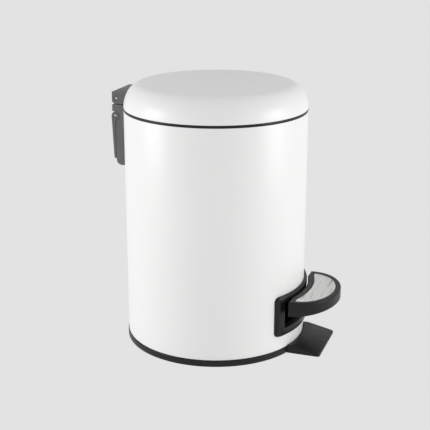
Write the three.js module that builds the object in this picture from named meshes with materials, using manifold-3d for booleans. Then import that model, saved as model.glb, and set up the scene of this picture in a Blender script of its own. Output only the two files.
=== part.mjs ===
// A small round pedal bin: a painted steel shell on a plastic base tray, an inner bucket hung in
// a plastic ring, and a domed lid that a foot pedal lifts through a lever and a push rod.
// Millimetres. Origin: centre of the underside, on the floor. +Z is up, the pedal is towards -Y
// and the lid's hinge is towards +Y.

import * as THREE from 'three';
import { mergeVertices } from 'three/addons/utils/BufferGeometryUtils.js';
import Module from 'manifold-3d';

const wasm = await Module();
wasm.setup();

// ---------------------------------------------------------------- driving dimensions

const gap = 0.3; // between neighbours that touch on the real bin
const past = 1; // how far a cutting solid runs past the faces it opens
const into = 0.5; // how far a joined solid runs into its neighbour
const roundSides = 48; // flats round a full turn of the body
const curveSides = 14; // flats along each curve of the pedal's outline
const holeSides = 12; // flats round a pin or a hole
const wireSides = 8; // flats round the bail's wire

const bodyRadius = 85;
const shellWall = 0.8;
const seamHeight = 222; // middle of the dark line under the lid
const seamLip = 1.9; // visible height of the plastic ring in that line
const lidHeight = 28; // from that line to the top of the dome

// Base tray
const trayHeight = 6; // visible black band at the floor
const trayProud = 0.7;
const trayFloor = 3.2;
const trayUpstand = 16;
const trayWall = 1.8;
const trayEdgeBreak = 1;
const trayScrewSkin = 1.1; // left under the screws in the floor

// Foot plate
const footHalfWidth = 30;
const footOut = 26.5; // from the shell to its front edge
const footRootHeight = 7.5;
const footEdgeHeight = 2;
const footEdgeRound = 1;
const footTuck = 2; // how far its root follows the tray's curve
const tongueHalfWidth = 20;
const tongueBottom = 2.3;
const tongueTop = 4.1;
const tongueDepth = 8;
const tongueRoot = 4;

// Pedal window and its bezel
const windowHalfWidth = 37;
const windowLow = 27.5;
const windowHigh = 52;
const windowCorner = 2;
const bezelSide = 8.6; // its face beside the window
const bezelRim = 7.5; // its face above and below the window
const bezelCorner = 4.5;
const bezelProud = 3;
const bezelChamfer = 2;
const sleeveWall = 1.2;
const sleeveInside = 3.5;

// Pedal
const pedalOut = 37; // from the shell to its tip
const pedalHalfWidth = 43;
const pedalShoulderOut = 5; // where the sides start to curve in
const pedalBackOut = -0.7; // where the side walls end
const pedalAboveWindow = 4.3;
const pedalTipHeight = 9.8;
const pedalRootHeight = 14.4;
const pedalBezelGap = 1.2;
const pedalSideFlat = 1; // least width of a side wall's end
const pedalWall = 2.6;
const pedalPlate = 4;
const pedalBossRadius = 4;
const inlayThickness = 0.8;
const inlayRim = 5;
const inlayBackRim = 6;
const inlaySunk = 0.3;

// Lever, bracket and pivot
const pivotIn = 40; // from the shell to the pivot
const pivotRadius = 2.5;
const pivotPinOver = 1.5;
const leverThickness = 2;
const leverHalfWidth = 11;
const leverFrontHalfWidth = 20;
const leverUnderWindowTop = 5.4;
const leverTipIn = 10; // from the pedal's tip to the front plate's end
const leverFrontRootIn = 20; // from the shell to the front plate's other end
const leverLap = 6; // where the front plate and the strip are one
const leverFold = 1;
const leverCrownHalf = 3; // flat of the strip over the pivot
const knuckleRadius = 4.8;
const boreClearance = 0.4;
const eyeWallGap = 1.11; // from the lever's rear eye to the tray's upstand
const eyeFloorGap = 0.7; // under that eye at rest
const eyeRadius = 4.6;
const eyeBore = 2.6;
const eyeNear = 2.6;
const eyeFar = 8;
const rearArmLength = 14;
const rearArmLap = 8;
const rearArmHalfHeight = 2.5;
const bracketThickness = 1.4;
const bracketHalfLength = 10;
const bracketEarHalfLength = 6;
const bracketEarRound = 4.8;

// Push rod
const rodRadius = 1.75;
const rodWallGap = 0.65;
const rodJogLow = 12; // above the eye
const rodJogHigh = 19;
const rodContactGap = 0.6;
const rodLegOver = 1.5;

// Hinge, its housing and cap
const hingeOut = 6.5; // from the shell to the hinge pin
const capLowRoom = 0.9; // more room under the hinge knuckle than the cap's wall needs
const hingePinRadius = 1.5;
const pinInset = 0.4; // a pin's end below the face beside it
const lidOpenDegrees = 80;
const housingHalfWidth = 20;
const housingDrop = 57.5; // from the seam to its lower end
const housingTopRise = 0.2;
const housingCorner = 5;
const housingEdgeRound = 0.5;
const housingWall = 2.4;
const splitGap = 0.6;
const capBackRise = 12.3; // from the seam to the cap's top
const capFrontRise = 14.3;
const capFrontIn = 12;
const capEdgeRound = 1;
const capWall = 1.1;
const cheekThickness = 3;
const hingeKnuckleRadius = 2.9;
const postBehind = 0.4; // the post's back face behind the pin's axis
const pocketWall = 1.2; // running room in front of the knuckle

// Carry handle
const handleSeatOut = 7.6; // housing face behind the handle
const handlePivotOut = 0.1; // pin's axis behind that face
const handlePivotDrop = 10.5; // from the seam to the pin
const handleKnuckleRadius = 4;
const handleTopDepth = 4.1;
const handleLowDepth = 2.3;
const handleLowLift = 5.5; // its lower end above the housing's
const handleEdgeRound = 1;
const handleBarHeight = 11;
const handleLeg = 5;
const carryPinRadius = 1.5;
const pinBossLap = 2;
const pinBossSunk = 1;
const pinBossRound = 1;

// Ring, bucket and buffers
const ringSkirtDepth = 9;
const ringSkirtWall = 1.6;
const ringShelf = 1.7;
const rimLand = 6.9; // the ring's flat top outside the bucket
const bucketClearance = 0.5;
const bucketTaper = 4;
const bucketWall = 1.2;
const bucketAboveWindow = 2;
const bucketFloorEdge = 2.4; // height of the rounded corner at the floor
const flangeThickness = 1.5;
const flangeSunk = 1;
const earHalfWidth = 4.5;
const earThickness = 2.2;
const earHeight = 6;
const bailRadius = 1.4;
const bailSteps = 24;
const bailLift = 0.6;
const bailOver = 1;
const bailElbowSwell = 0.03;
const bufferRadius = 2.5;
const bufferSunk = 1.5;
const bufferAngles = [-90, 30, 150];

// Lid
const lidWall = 0.8;
const shoulderIn = 17.4; // how far the shoulder leans in
const shoulderEndDegrees = 84;
const shoulderSteps = 7;
const domeRise = 4.67; // from the shoulder's end to the top
const domeSteps = 2;
const linerWall = 1.6;
const linerGap = 0.5;
const linerRimLift = 0.7;
const linerDrop = 10.5; // from the dome's top to the liner's
const linerEdge = 1;
const crankHalfWidth = 5;
const crankClearance = 1;
const crankStraight = 1;
const crankTopIn = 2;
const crankTopRise = 2;

// Screws
const screwRadius = 1.5;
const screwHeadRadius = 3.2;
const screwHeadHeight = 2;
const screwPadMargin = 0.8; // plastic round a screw's head
const housingScrewX = 12;
const housingScrewDrop = 36; // from the seam
const housingScrewSkin = 1; // left behind the handle's seat
const lidScrewX = 10.5;
const lidScrewRise = 1.5; // above the hinge pin
const pedalScrewX = 12;
const pedalScrewIn = 18; // from the pedal's tip
const pedalScrewBite = 0.8;
const bracketScrewOffset = 7;

// ---------------------------------------------------------------- sizes that follow

const overallHeight = seamHeight + lidHeight;
const shellInside = bodyRadius - shellWall;
const shellBottom = trayHeight + gap;
const lipTop = seamHeight + seamLip / 2;
const lipBottom = seamHeight - seamLip / 2;
const shellTop = lipBottom - gap;
const lidBottom = lipTop + gap;
const footReach = bodyRadius + footOut;

const shoulderRadius = bodyRadius - shoulderIn;
const shoulderEnd = THREE.MathUtils.degToRad(shoulderEndDegrees);
const shoulderRise = (overallHeight - domeRise - lidBottom) / Math.sin(shoulderEnd);
const linerInset = lidWall + linerGap;
const linerFlat = overallHeight - linerDrop;
const linerCeiling = linerFlat - linerWall;

const bezelHalfWidth = windowHalfWidth + bezelSide;
const bezelLow = windowLow - bezelRim;
const bezelHigh = windowHigh + bezelRim;

const skirtOutside = shellInside - gap;
const recessRadius = skirtOutside - rimLand;
const bufferCircle = (recessRadius + skirtOutside) / 2;
const bucketFlange = recessRadius - bucketClearance;
const flangeWidth = gap + earThickness + bailOver;
const bucketTopRadius = bucketFlange - flangeWidth;
const bucketLowRadius = bucketTopRadius - bucketTaper;
const bucketLow = windowHigh + bucketAboveWindow;
const shelfInside = bucketTopRadius + bucketClearance;
const flangeTop = lipTop - flangeSunk;
const shelfTop = flangeTop - flangeThickness - gap;

const hingeY = bodyRadius + hingeOut;
const housingTop = seamHeight + housingTopRise;
const hingeZ = housingTop + splitGap + hingeKnuckleRadius + gap + capWall + capLowRoom;
const housingBack = hingeY + hingeKnuckleRadius + gap + capWall;
const housingLow = seamHeight - housingDrop;
const cheekInside = housingHalfWidth - cheekThickness;
const pocketFront = hingeY - hingeKnuckleRadius - pocketWall;
const handleSeat = bodyRadius + handleSeatOut;
const handlePivotY = handleSeat + handlePivotOut;
const handlePivotZ = seamHeight - handlePivotDrop;
const handleLow = housingLow + handleLowLift;
const legInside = housingHalfWidth - handleLeg;

const rodY = shellInside - rodWallGap - rodRadius;
const crankReach = hingeY - rodY;
const halfOpen = THREE.MathUtils.degToRad(lidOpenDegrees / 2);
const rodLift = 2 * crankReach * Math.tan(halfOpen);
const rodNoseZ =
  hingeZ - crankReach * Math.tan(halfOpen) - (rodRadius + rodContactGap) / Math.cos(halfOpen);
const eyeHeight = trayFloor + eyeRadius + eyeFloorGap;
const eyeY = Math.sqrt((skirtOutside - trayWall) ** 2 - eyeFar ** 2) - eyeRadius - eyeWallGap;
const pivotY = -(bodyRadius - pivotIn);
const pivotZ = eyeHeight + rodLift / 2;
const bracketBottom = trayFloor + gap;
const bracketEarInside = leverHalfWidth + gap;

const pedalTip = bodyRadius + pedalOut;
const pedalShoulder = bodyRadius + pedalShoulderOut;
const pedalBack = bodyRadius + pedalBackOut;
const pedalInside = bodyRadius + bezelProud + pedalBezelGap;
const pedalTop = windowHigh + pedalAboveWindow;
const pedalPlateLow = pedalTop - pedalPlate;
const leverFrontEnd = pedalTip - leverTipIn;
const leverFrontBottom = windowHigh - leverUnderWindowTop;
const leverFrontTop = leverFrontBottom + leverThickness;
const leverFrontRoot = -bodyRadius + leverFrontRootIn;

const screwPadRadius = screwHeadRadius + screwPadMargin;
const housingScrewZ = seamHeight - housingScrewDrop;
const housingScrewTip = handleSeat - housingScrewSkin;
const lidScrewZ = hingeZ + lidScrewRise;
const lidScrewSide = lidScrewX + screwHeadRadius;
const linerInside = linerInsideAt(lidScrewZ + screwHeadRadius);
const lidScrewSeat = Math.sqrt(linerInside ** 2 - lidScrewSide ** 2) - into;
const pedalScrewY = -(pedalTip - pedalScrewIn);

// The radius of the lid's shoulder at height z, moved in by `inset`.
function lidRadiusAt(z, inset) {
  const share = (z - lidBottom) / (shoulderRise - inset);
  return shoulderRadius + (shoulderIn - inset) * Math.sqrt(1 - share ** 2);
}

const bothSides = [-1, 1];
const bracketScrewYs = bothSides.map((side) => pivotY + side * bracketScrewOffset);
const pedalScrewXs = bothSides.map((side) => side * pedalScrewX);
const housingScrewXs = bothSides.map((side) => side * housingScrewX);
const lidScrewXs = bothSides.map((side) => side * lidScrewX);

// ---------------------------------------------------------------- solids

function toSolid(geometry) {
  geometry.deleteAttribute('normal');
  geometry.deleteAttribute('uv');
  const merged = mergeVertices(geometry, 1e-4);
  const index = merged.index.array;
  const kept = [];
  for (let i = 0; i < index.length; i += 3) {
    const [a, b, c] = [index[i], index[i + 1], index[i + 2]];
    if (a !== b && b !== c && c !== a) kept.push(a, b, c);
  }
  return new wasm.Manifold(
    new wasm.Mesh({
      numProp: 3,
      vertProperties: new Float32Array(merged.attributes.position.array),
      triVerts: new Uint32Array(kept),
    }),
  );
}

function toGeometry(solid) {
  const mesh = solid.getMesh();
  const geometry = new THREE.BufferGeometry();
  geometry.setAttribute('position', new THREE.BufferAttribute(mesh.vertProperties, 3));
  geometry.setIndex(new THREE.BufferAttribute(mesh.triVerts, 1));
  geometry.computeVertexNormals();
  return geometry;
}

// A profile of [radius, height] points turned round Z.
function turned(profile, sides = roundSides) {
  const points = profile.map(([r, z]) => new THREE.Vector2(r, z));
  return toSolid(new THREE.LatheGeometry(points, sides).rotateX(Math.PI / 2));
}

// A closed ring profile turned round Z.
function turnedRing(profile) {
  return turned([...profile, profile[0]]);
}

function tube(innerRadius, outerRadius, low, high) {
  return turnedRing([
    [innerRadius, low],
    [outerRadius, low],
    [outerRadius, high],
    [innerRadius, high],
  ]);
}

function disc(radius, low, high) {
  return turned([
    [0, low],
    [radius, low],
    [radius, high],
    [0, high],
  ]);
}

function block(x0, x1, y0, y1, z0, z1) {
  const box = new THREE.BoxGeometry(x1 - x0, y1 - y0, z1 - z0);
  return toSolid(box.translate((x0 + x1) / 2, (y0 + y1) / 2, (z0 + z1) / 2));
}

// An outline from corners, each [x, y] or [x, y, radius].
function outline(corners) {
  const shape = new THREE.Shape();
  const count = corners.length;
  corners.forEach(([x, y, radius = 0], i) => {
    const corner = new THREE.Vector2(x, y);
    const before = new THREE.Vector2(...corners[(i + count - 1) % count]);
    const after = new THREE.Vector2(...corners[(i + 1) % count]);
    const start = corner.clone().add(before.sub(corner).setLength(radius));
    const end = corner.clone().add(after.sub(corner).setLength(radius));
    if (i === 0) shape.moveTo(start.x, start.y);
    else shape.lineTo(start.x, start.y);
    if (radius > 0) shape.quadraticCurveTo(x, y, end.x, end.y);
  });
  shape.closePath();
  return shape;
}

function roundedRectangle(halfWidth, low, high, corner) {
  return outline([
    [-halfWidth, low, corner],
    [halfWidth, low, corner],
    [halfWidth, high, corner],
    [-halfWidth, high, corner],
  ]);
}

function extruded(shape, depth) {
  return new THREE.ExtrudeGeometry(shape, {
    depth,
    bevelEnabled: false,
    curveSegments: holeSides / 3,
  });
}

// An outline drawn in (y, z) and run from x0 to x1.
function across(shape, x0, x1) {
  const turn = new THREE.Matrix4().makeBasis(
    new THREE.Vector3(0, 1, 0),
    new THREE.Vector3(0, 0, 1),
    new THREE.Vector3(1, 0, 0),
  );
  return toSolid(extruded(shape, x1 - x0).applyMatrix4(turn).translate(x0, 0, 0));
}

// An outline drawn in (x, z) and run from y1 back to y0.
function alongY(shape, y0, y1) {
  return toSolid(extruded(shape, y1 - y0).rotateX(Math.PI / 2).translate(0, y1, 0));
}

// A round bar between two points.
function bar(from, to, radius, sides = holeSides) {
  const start = new THREE.Vector3(...from);
  const end = new THREE.Vector3(...to);
  const length = start.distanceTo(end);
  const turn = new THREE.Quaternion().setFromUnitVectors(
    new THREE.Vector3(0, 1, 0),
    end.clone().sub(start).normalize(),
  );
  const geometry = new THREE.CylinderGeometry(radius, radius, length, sides);
  const middle = start.add(end).multiplyScalar(0.5);
  return toSolid(geometry.applyQuaternion(turn).translate(middle.x, middle.y, middle.z));
}

function ball(centre, radius) {
  return toSolid(new THREE.SphereGeometry(radius, holeSides, holeSides / 2).translate(...centre));
}

// The bore for a pin of `radius` along X, through everything.
function pinBore(y, z, radius) {
  return bar([-bodyRadius, y, z], [bodyRadius, y, z], radius + boreClearance);
}

function union(...solids) {
  return solids.reduce((all, next) => all.add(next));
}

function cut(base, ...tools) {
  return tools.reduce((left, tool) => left.subtract(tool), base);
}

const object = new THREE.Group();
object.name = 'pedal_bin';

function add(name, solid, material) {
  const mesh = new THREE.Mesh(toGeometry(solid), material.clone());
  mesh.name = name;
  object.add(mesh);
}

// ---------------------------------------------------------------- materials

function finish(color, roughness, metalness) {
  return new THREE.MeshStandardMaterial({ color, roughness, metalness });
}

const whitePaint = finish(0xf3f3f3, 0.4, 0);
const blackPlastic = finish(0x1d1d1d, 0.5, 0);
const greyPlastic = finish(0x5e5e5e, 0.5, 0);
const brushedSteel = finish(0xcfcfcd, 0.35, 1);
const zincSteel = finish(0xa9adb0, 0.4, 1);
const blackRubber = finish(0x141414, 0.8, 0);

// ---------------------------------------------------------------- base tray and foot plate

function baseTray() {
  const outside = bodyRadius + trayProud;
  const dish = turned([
    [0, 0],
    [outside - trayEdgeBreak, 0],
    [outside, trayEdgeBreak],
    [outside, trayHeight],
    [skirtOutside, trayHeight],
    [skirtOutside, trayUpstand],
    [skirtOutside - trayWall, trayUpstand],
    [skirtOutside - trayWall, trayFloor],
    [0, trayFloor],
  ]);
  const tongueSlot = block(
    -tongueHalfWidth - gap,
    tongueHalfWidth + gap,
    -footReach,
    -bodyRadius + tongueDepth + gap,
    tongueBottom - gap,
    tongueTop + gap,
  );
  const screwHoles = bracketScrewYs.map((y) =>
    bar([0, y, trayScrewSkin], [0, y, trayFloor + past], screwRadius + boreClearance),
  );
  return cut(dish, tongueSlot, ...screwHoles);
}

function footPlate() {
  const root = bodyRadius + trayProud + gap;
  const inner = root * Math.cos(Math.asin(footHalfWidth / root));
  const wedge = across(
    outline([
      [-footReach, 0],
      [-inner + footTuck, 0],
      [-inner + footTuck, footRootHeight],
      [-root, footRootHeight],
      [-footReach, footEdgeHeight, footEdgeRound],
    ]),
    -footHalfWidth,
    footHalfWidth,
  );
  const tongue = block(
    -tongueHalfWidth,
    tongueHalfWidth,
    -root - tongueRoot,
    -bodyRadius + tongueDepth,
    tongueBottom,
    tongueTop,
  );
  return cut(wedge, disc(root, -past, footRootHeight + past)).add(tongue);
}

// ---------------------------------------------------------------- shell, bezel and ring

function outerShell() {
  const sleeveOutside = sleeveWall + gap;
  const window = alongY(
    roundedRectangle(
      windowHalfWidth + sleeveOutside,
      windowLow - sleeveOutside,
      windowHigh + sleeveOutside,
      windowCorner + sleeveOutside,
    ),
    -bodyRadius - past,
    0,
  );
  const screwHoles = housingScrewXs.map((x) =>
    bar([x, 0, housingScrewZ], [x, bodyRadius + past, housingScrewZ], screwRadius + boreClearance),
  );
  return cut(tube(shellInside, bodyRadius, shellBottom, shellTop), window, ...screwHoles);
}

function pedalBezel() {
  const seat = bodyRadius + gap;
  const face = bodyRadius + bezelProud;
  const ring = turnedRing([
    [seat, bezelLow],
    [face - bezelChamfer, bezelLow],
    [face, bezelLow + bezelChamfer],
    [face, bezelHigh - bezelChamfer],
    [face - bezelChamfer, bezelHigh],
    [seat, bezelHigh],
  ]);
  const front = -face - past;
  const plate = roundedRectangle(bezelHalfWidth, bezelLow, bezelHigh, bezelCorner);
  const sleeve = roundedRectangle(
    windowHalfWidth + sleeveWall,
    windowLow - sleeveWall,
    windowHigh + sleeveWall,
    windowCorner + sleeveWall,
  );
  const sleeveBand = tube(shellInside - sleeveInside, face - bezelChamfer / 2, bezelLow, bezelHigh);
  const opening = roundedRectangle(windowHalfWidth, windowLow, windowHigh, windowCorner);
  return ring
    .intersect(alongY(plate, front, 0))
    .add(sleeveBand.intersect(alongY(sleeve, front, 0)))
    .subtract(alongY(opening, front - past, past));
}

function onCircle(radius, degrees, z) {
  const angle = THREE.MathUtils.degToRad(degrees);
  return [radius * Math.cos(angle), radius * Math.sin(angle), z];
}

function topRing() {
  const ring = turnedRing([
    [shelfInside, shelfTop - ringShelf],
    [skirtOutside - ringSkirtWall, shelfTop - ringShelf],
    [skirtOutside - ringSkirtWall, lipBottom - ringSkirtDepth],
    [skirtOutside, lipBottom - ringSkirtDepth],
    [skirtOutside, lipBottom],
    [bodyRadius, lipBottom],
    [bodyRadius, lipTop],
    [recessRadius, lipTop],
    [recessRadius, shelfTop],
    [shelfInside, shelfTop],
  ]);
  const crankNotch = block(
    -crankHalfWidth - crankClearance,
    crankHalfWidth + crankClearance,
    bucketFlange,
    skirtOutside,
    lipBottom - ringSkirtDepth - past,
    lipTop + past,
  );
  const bufferHoles = bufferAngles.map((angle) =>
    bar(
      onCircle(bufferCircle, angle, lipTop - bufferSunk - gap),
      onCircle(bufferCircle, angle, lipTop + past),
      bufferRadius + gap,
    ),
  );
  return cut(ring, crankNotch, ...bufferHoles);
}

// ---------------------------------------------------------------- bucket and bail

const bailZ = flangeTop + bailRadius + bailLift;
const earInside = bucketTopRadius + gap;
const earOutside = earInside + earThickness;
const bailCentreRadius = earInside - bailRadius - gap;

function innerBucket() {
  const wallTop = flangeTop - flangeThickness;
  const floorEdge = bucketFloorEdge;
  const body = turned([
    [0, bucketLow],
    [bucketLowRadius - floorEdge, bucketLow],
    [bucketLowRadius - floorEdge / 4, bucketLow + floorEdge / 4],
    [bucketLowRadius, bucketLow + floorEdge],
    [bucketTopRadius, wallTop],
    [bucketFlange, wallTop],
    [bucketFlange, flangeTop],
    [bucketTopRadius - bucketWall, flangeTop],
    [bucketLowRadius - bucketWall, bucketLow + floorEdge],
    [bucketLowRadius - floorEdge / 4 - bucketWall, bucketLow + floorEdge / 4 + bucketWall],
    [bucketLowRadius - floorEdge, bucketLow + bucketWall],
    [0, bucketLow + bucketWall],
  ]);
  const ears = bothSides.map((side) => {
    const near = side * earInside;
    const far = side * earOutside;
    const ear = across(
      outline([
        [-earHalfWidth, flangeTop - into],
        [earHalfWidth, flangeTop - into],
        [earHalfWidth, flangeTop + earHeight, earHalfWidth / 2],
        [-earHalfWidth, flangeTop + earHeight, earHalfWidth / 2],
      ]),
      Math.min(near, far),
      Math.max(near, far),
    );
    return ear.subtract(pinBore(0, bailZ, bailRadius));
  });
  return union(body, ...ears);
}

function bucketBail() {
  const arc = new THREE.CatmullRomCurve3(
    Array.from({ length: bailSteps + 1 }, (_, i) => {
      const angle = Math.PI + (i / bailSteps) * Math.PI;
      return new THREE.Vector3(
        bailCentreRadius * Math.cos(angle),
        bailCentreRadius * Math.sin(angle),
        bailZ,
      );
    }),
  );
  const section = new THREE.Shape().absarc(0, 0, bailRadius, 0, 2 * Math.PI);
  const hoop = toSolid(
    new THREE.ExtrudeGeometry(section, {
      extrudePath: arc,
      steps: bailSteps,
      curveSegments: wireSides / 2,
    }),
  );
  const legs = bothSides.flatMap((side) => {
    const elbow = [side * bailCentreRadius, 0, bailZ];
    const end = [side * (earOutside + bailOver), 0, bailZ];
    return [ball(elbow, bailRadius + bailElbowSwell), bar(elbow, end, bailRadius, wireSides)];
  });
  return union(hoop, ...legs);
}

// ---------------------------------------------------------------- screws, pins and buffers

// A pan-head screw whose head sits under `seat` and whose shank runs towards `tip`.
function screw(seat, tip) {
  const from = new THREE.Vector3(...seat);
  const to = new THREE.Vector3(...tip);
  const direction = to.clone().sub(from).normalize();
  const headTop = from.clone().addScaledVector(direction, -screwHeadHeight);
  const head = bar(headTop.toArray(), seat, screwHeadRadius);
  const shank = bar(from.addScaledVector(direction, -into).toArray(), tip, screwRadius);
  return head.add(shank);
}

// ---------------------------------------------------------------- bracket and lever

function pivotBracket() {
  const earOuter = bracketEarInside + bracketThickness;
  const plate = block(
    -earOuter,
    earOuter,
    pivotY - bracketHalfLength,
    pivotY + bracketHalfLength,
    bracketBottom,
    bracketBottom + bracketThickness,
  );
  const profile = outline([
    [pivotY - bracketEarHalfLength, bracketBottom],
    [pivotY + bracketEarHalfLength, bracketBottom],
    [pivotY + bracketEarHalfLength, pivotZ + bracketEarHalfLength, bracketEarRound],
    [pivotY - bracketEarHalfLength, pivotZ + bracketEarHalfLength, bracketEarRound],
  ]);
  const body = union(
    plate,
    across(profile, -earOuter, -bracketEarInside),
    across(profile, bracketEarInside, earOuter),
  );
  const screwHoles = bracketScrewYs.map((y) =>
    bar([0, y, 0], [0, y, bracketBottom + bracketThickness + past], screwRadius + boreClearance),
  );
  return cut(body, pinBore(pivotY, pivotZ, pivotRadius), ...screwHoles);
}

function pedalLever() {
  const stripAtPivot = pivotZ + knuckleRadius - leverThickness;
  const rearStart = eyeY - rearArmLength;
  const frontPlate = across(
    outline([
      [-leverFrontEnd, leverFrontBottom],
      [leverFrontRoot, leverFrontBottom],
      [leverFrontRoot, leverFrontTop],
      [-leverFrontEnd, leverFrontTop],
    ]),
    -leverFrontHalfWidth,
    leverFrontHalfWidth,
  );
  const strip = across(
    outline([
      [leverFrontRoot - leverLap, leverFrontBottom],
      [leverFrontRoot, leverFrontBottom],
      [pivotY - leverCrownHalf, stripAtPivot],
      [pivotY + leverCrownHalf, stripAtPivot],
      [rearStart, eyeHeight],
      [rearStart, eyeHeight + leverThickness],
      [pivotY + leverCrownHalf, stripAtPivot + leverThickness],
      [pivotY - leverCrownHalf, stripAtPivot + leverThickness],
      [leverFrontRoot + leverFold, leverFrontTop],
      [leverFrontRoot - leverLap, leverFrontTop],
    ]),
    -leverHalfWidth,
    leverHalfWidth,
  );
  const knuckle = bar(
    [-leverHalfWidth, pivotY, pivotZ],
    [leverHalfWidth, pivotY, pivotZ],
    knuckleRadius,
  );
  const rearArm = across(
    outline([
      [rearStart - rearArmLap, eyeHeight],
      [eyeY, eyeHeight - rearArmHalfHeight],
      [eyeY, eyeHeight + rearArmHalfHeight],
      [rearStart - rearArmLap, eyeHeight + leverThickness],
    ]),
    eyeNear,
    eyeFar,
  );
  const eye = bar([eyeNear, eyeY, eyeHeight], [eyeFar, eyeY, eyeHeight], eyeRadius);
  const body = union(frontPlate, strip, knuckle, rearArm, eye);
  const screwHoles = pedalScrewXs.map((x) =>
    bar(
      [x, pedalScrewY, leverFrontBottom - past],
      [x, pedalScrewY, leverFrontTop + past],
      screwRadius + boreClearance,
    ),
  );
  return cut(
    body,
    pinBore(pivotY, pivotZ, pivotRadius),
    bar([eyeNear - past, eyeY, eyeHeight], [eyeFar + past, eyeY, eyeHeight], eyeBore),
    ...screwHoles,
  );
}

// The rod ends below in a leg through the lever's eye, jogs out to the shell and ends above in a
// round nose.
function pushRod() {
  const bends = [
    [0, eyeY, eyeHeight],
    [0, eyeY, eyeHeight + rodJogLow],
    [0, rodY, eyeHeight + rodJogHigh],
    [0, rodY, rodNoseZ],
  ];
  const leg = bar(bends[0], [eyeFar + rodLegOver, eyeY, eyeHeight], rodRadius);
  const lengths = bends.slice(1).map((end, i) => bar(bends[i], end, rodRadius));
  return union(leg, ...lengths, ...bends.map((point) => ball(point, rodRadius)));
}

// ---------------------------------------------------------------- pedal

// The pedal's outline from above, set in by `inset`: a half ellipse in front, short straight sides
// and a back edge that runs round the bezel.
function pedalOutline(inset, backRadius, backY) {
  const halfWidth = pedalHalfWidth - inset;
  const depth = pedalTip - pedalShoulder - inset;
  const trim = Math.asin(Math.max(backY - pedalShoulder, 0) / depth);
  const sideX = halfWidth * Math.cos(trim);
  const arcX = Math.min(sideX - pedalSideFlat, Math.sqrt(Math.max(backRadius ** 2 - backY ** 2, 0)));
  const arcStart = Math.atan2(-backY, arcX);
  const shape = new THREE.Shape();
  shape.moveTo(sideX, -backY);
  shape.absarc(0, 0, Math.hypot(arcX, backY), arcStart, -Math.PI - arcStart, true);
  shape.lineTo(-sideX, -backY);
  shape.absellipse(0, -pedalShoulder, halfWidth, depth, Math.PI + trim, 2 * Math.PI - trim, false);
  shape.closePath();
  return shape;
}

function smoothRaised(shape, z0, z1) {
  const geometry = new THREE.ExtrudeGeometry(shape, {
    depth: z1 - z0,
    bevelEnabled: false,
    curveSegments: curveSides,
  });
  return toSolid(geometry.translate(0, 0, z0));
}

function pedal() {
  const low = pedalTop - pedalRootHeight - past;
  const body = smoothRaised(pedalOutline(0, pedalInside, pedalBack), low, pedalTop);
  const slope = (pedalRootHeight - pedalTipHeight) / (pedalTip - pedalBack);
  const underTip = pedalTop - pedalTipHeight + past * slope;
  const underRoot = pedalTop - pedalRootHeight;
  const under = across(
    outline([
      [-pedalTip - past, low - past],
      [-pedalBack + past, low - past],
      [-pedalBack + past, underRoot],
      [-pedalBack, underRoot],
      [-pedalTip - past, underTip],
    ]),
    -pedalHalfWidth - past,
    pedalHalfWidth + past,
  );
  const hollow = smoothRaised(
    pedalOutline(pedalWall, pedalInside + pedalWall, pedalBack + pedalWall),
    low - past,
    pedalPlateLow,
  );
  const recess = smoothRaised(
    pedalOutline(inlayRim - gap, pedalInside + inlayBackRim - gap, pedalBack + inlayRim - gap),
    pedalTop - inlaySunk - inlayThickness - gap,
    pedalTop + past,
  );
  const leverSlot = block(
    -leverFrontHalfWidth - gap,
    leverFrontHalfWidth + gap,
    -pedalInside - pedalWall - past,
    -pedalBack + past,
    leverFrontBottom - gap,
    leverFrontTop + gap,
  );
  const bossLow = leverFrontTop + gap;
  const bosses = pedalScrewXs.map((x) =>
    bar([x, pedalScrewY, bossLow], [x, pedalScrewY, pedalPlateLow + into], pedalBossRadius),
  );
  const screwHoles = pedalScrewXs.map((x) =>
    bar(
      [x, pedalScrewY, bossLow - past],
      [x, pedalScrewY, pedalPlateLow + pedalScrewBite + boreClearance],
      screwRadius + boreClearance,
    ),
  );
  return cut(cut(body, under, hollow, recess, leverSlot).add(union(...bosses)), ...screwHoles);
}

function pedalInlay() {
  const top = pedalTop - inlaySunk;
  return smoothRaised(
    pedalOutline(inlayRim, pedalInside + inlayBackRim, pedalBack + inlayRim),
    top - inlayThickness,
    top,
  );
}

// ---------------------------------------------------------------- hinge housing and handle

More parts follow.
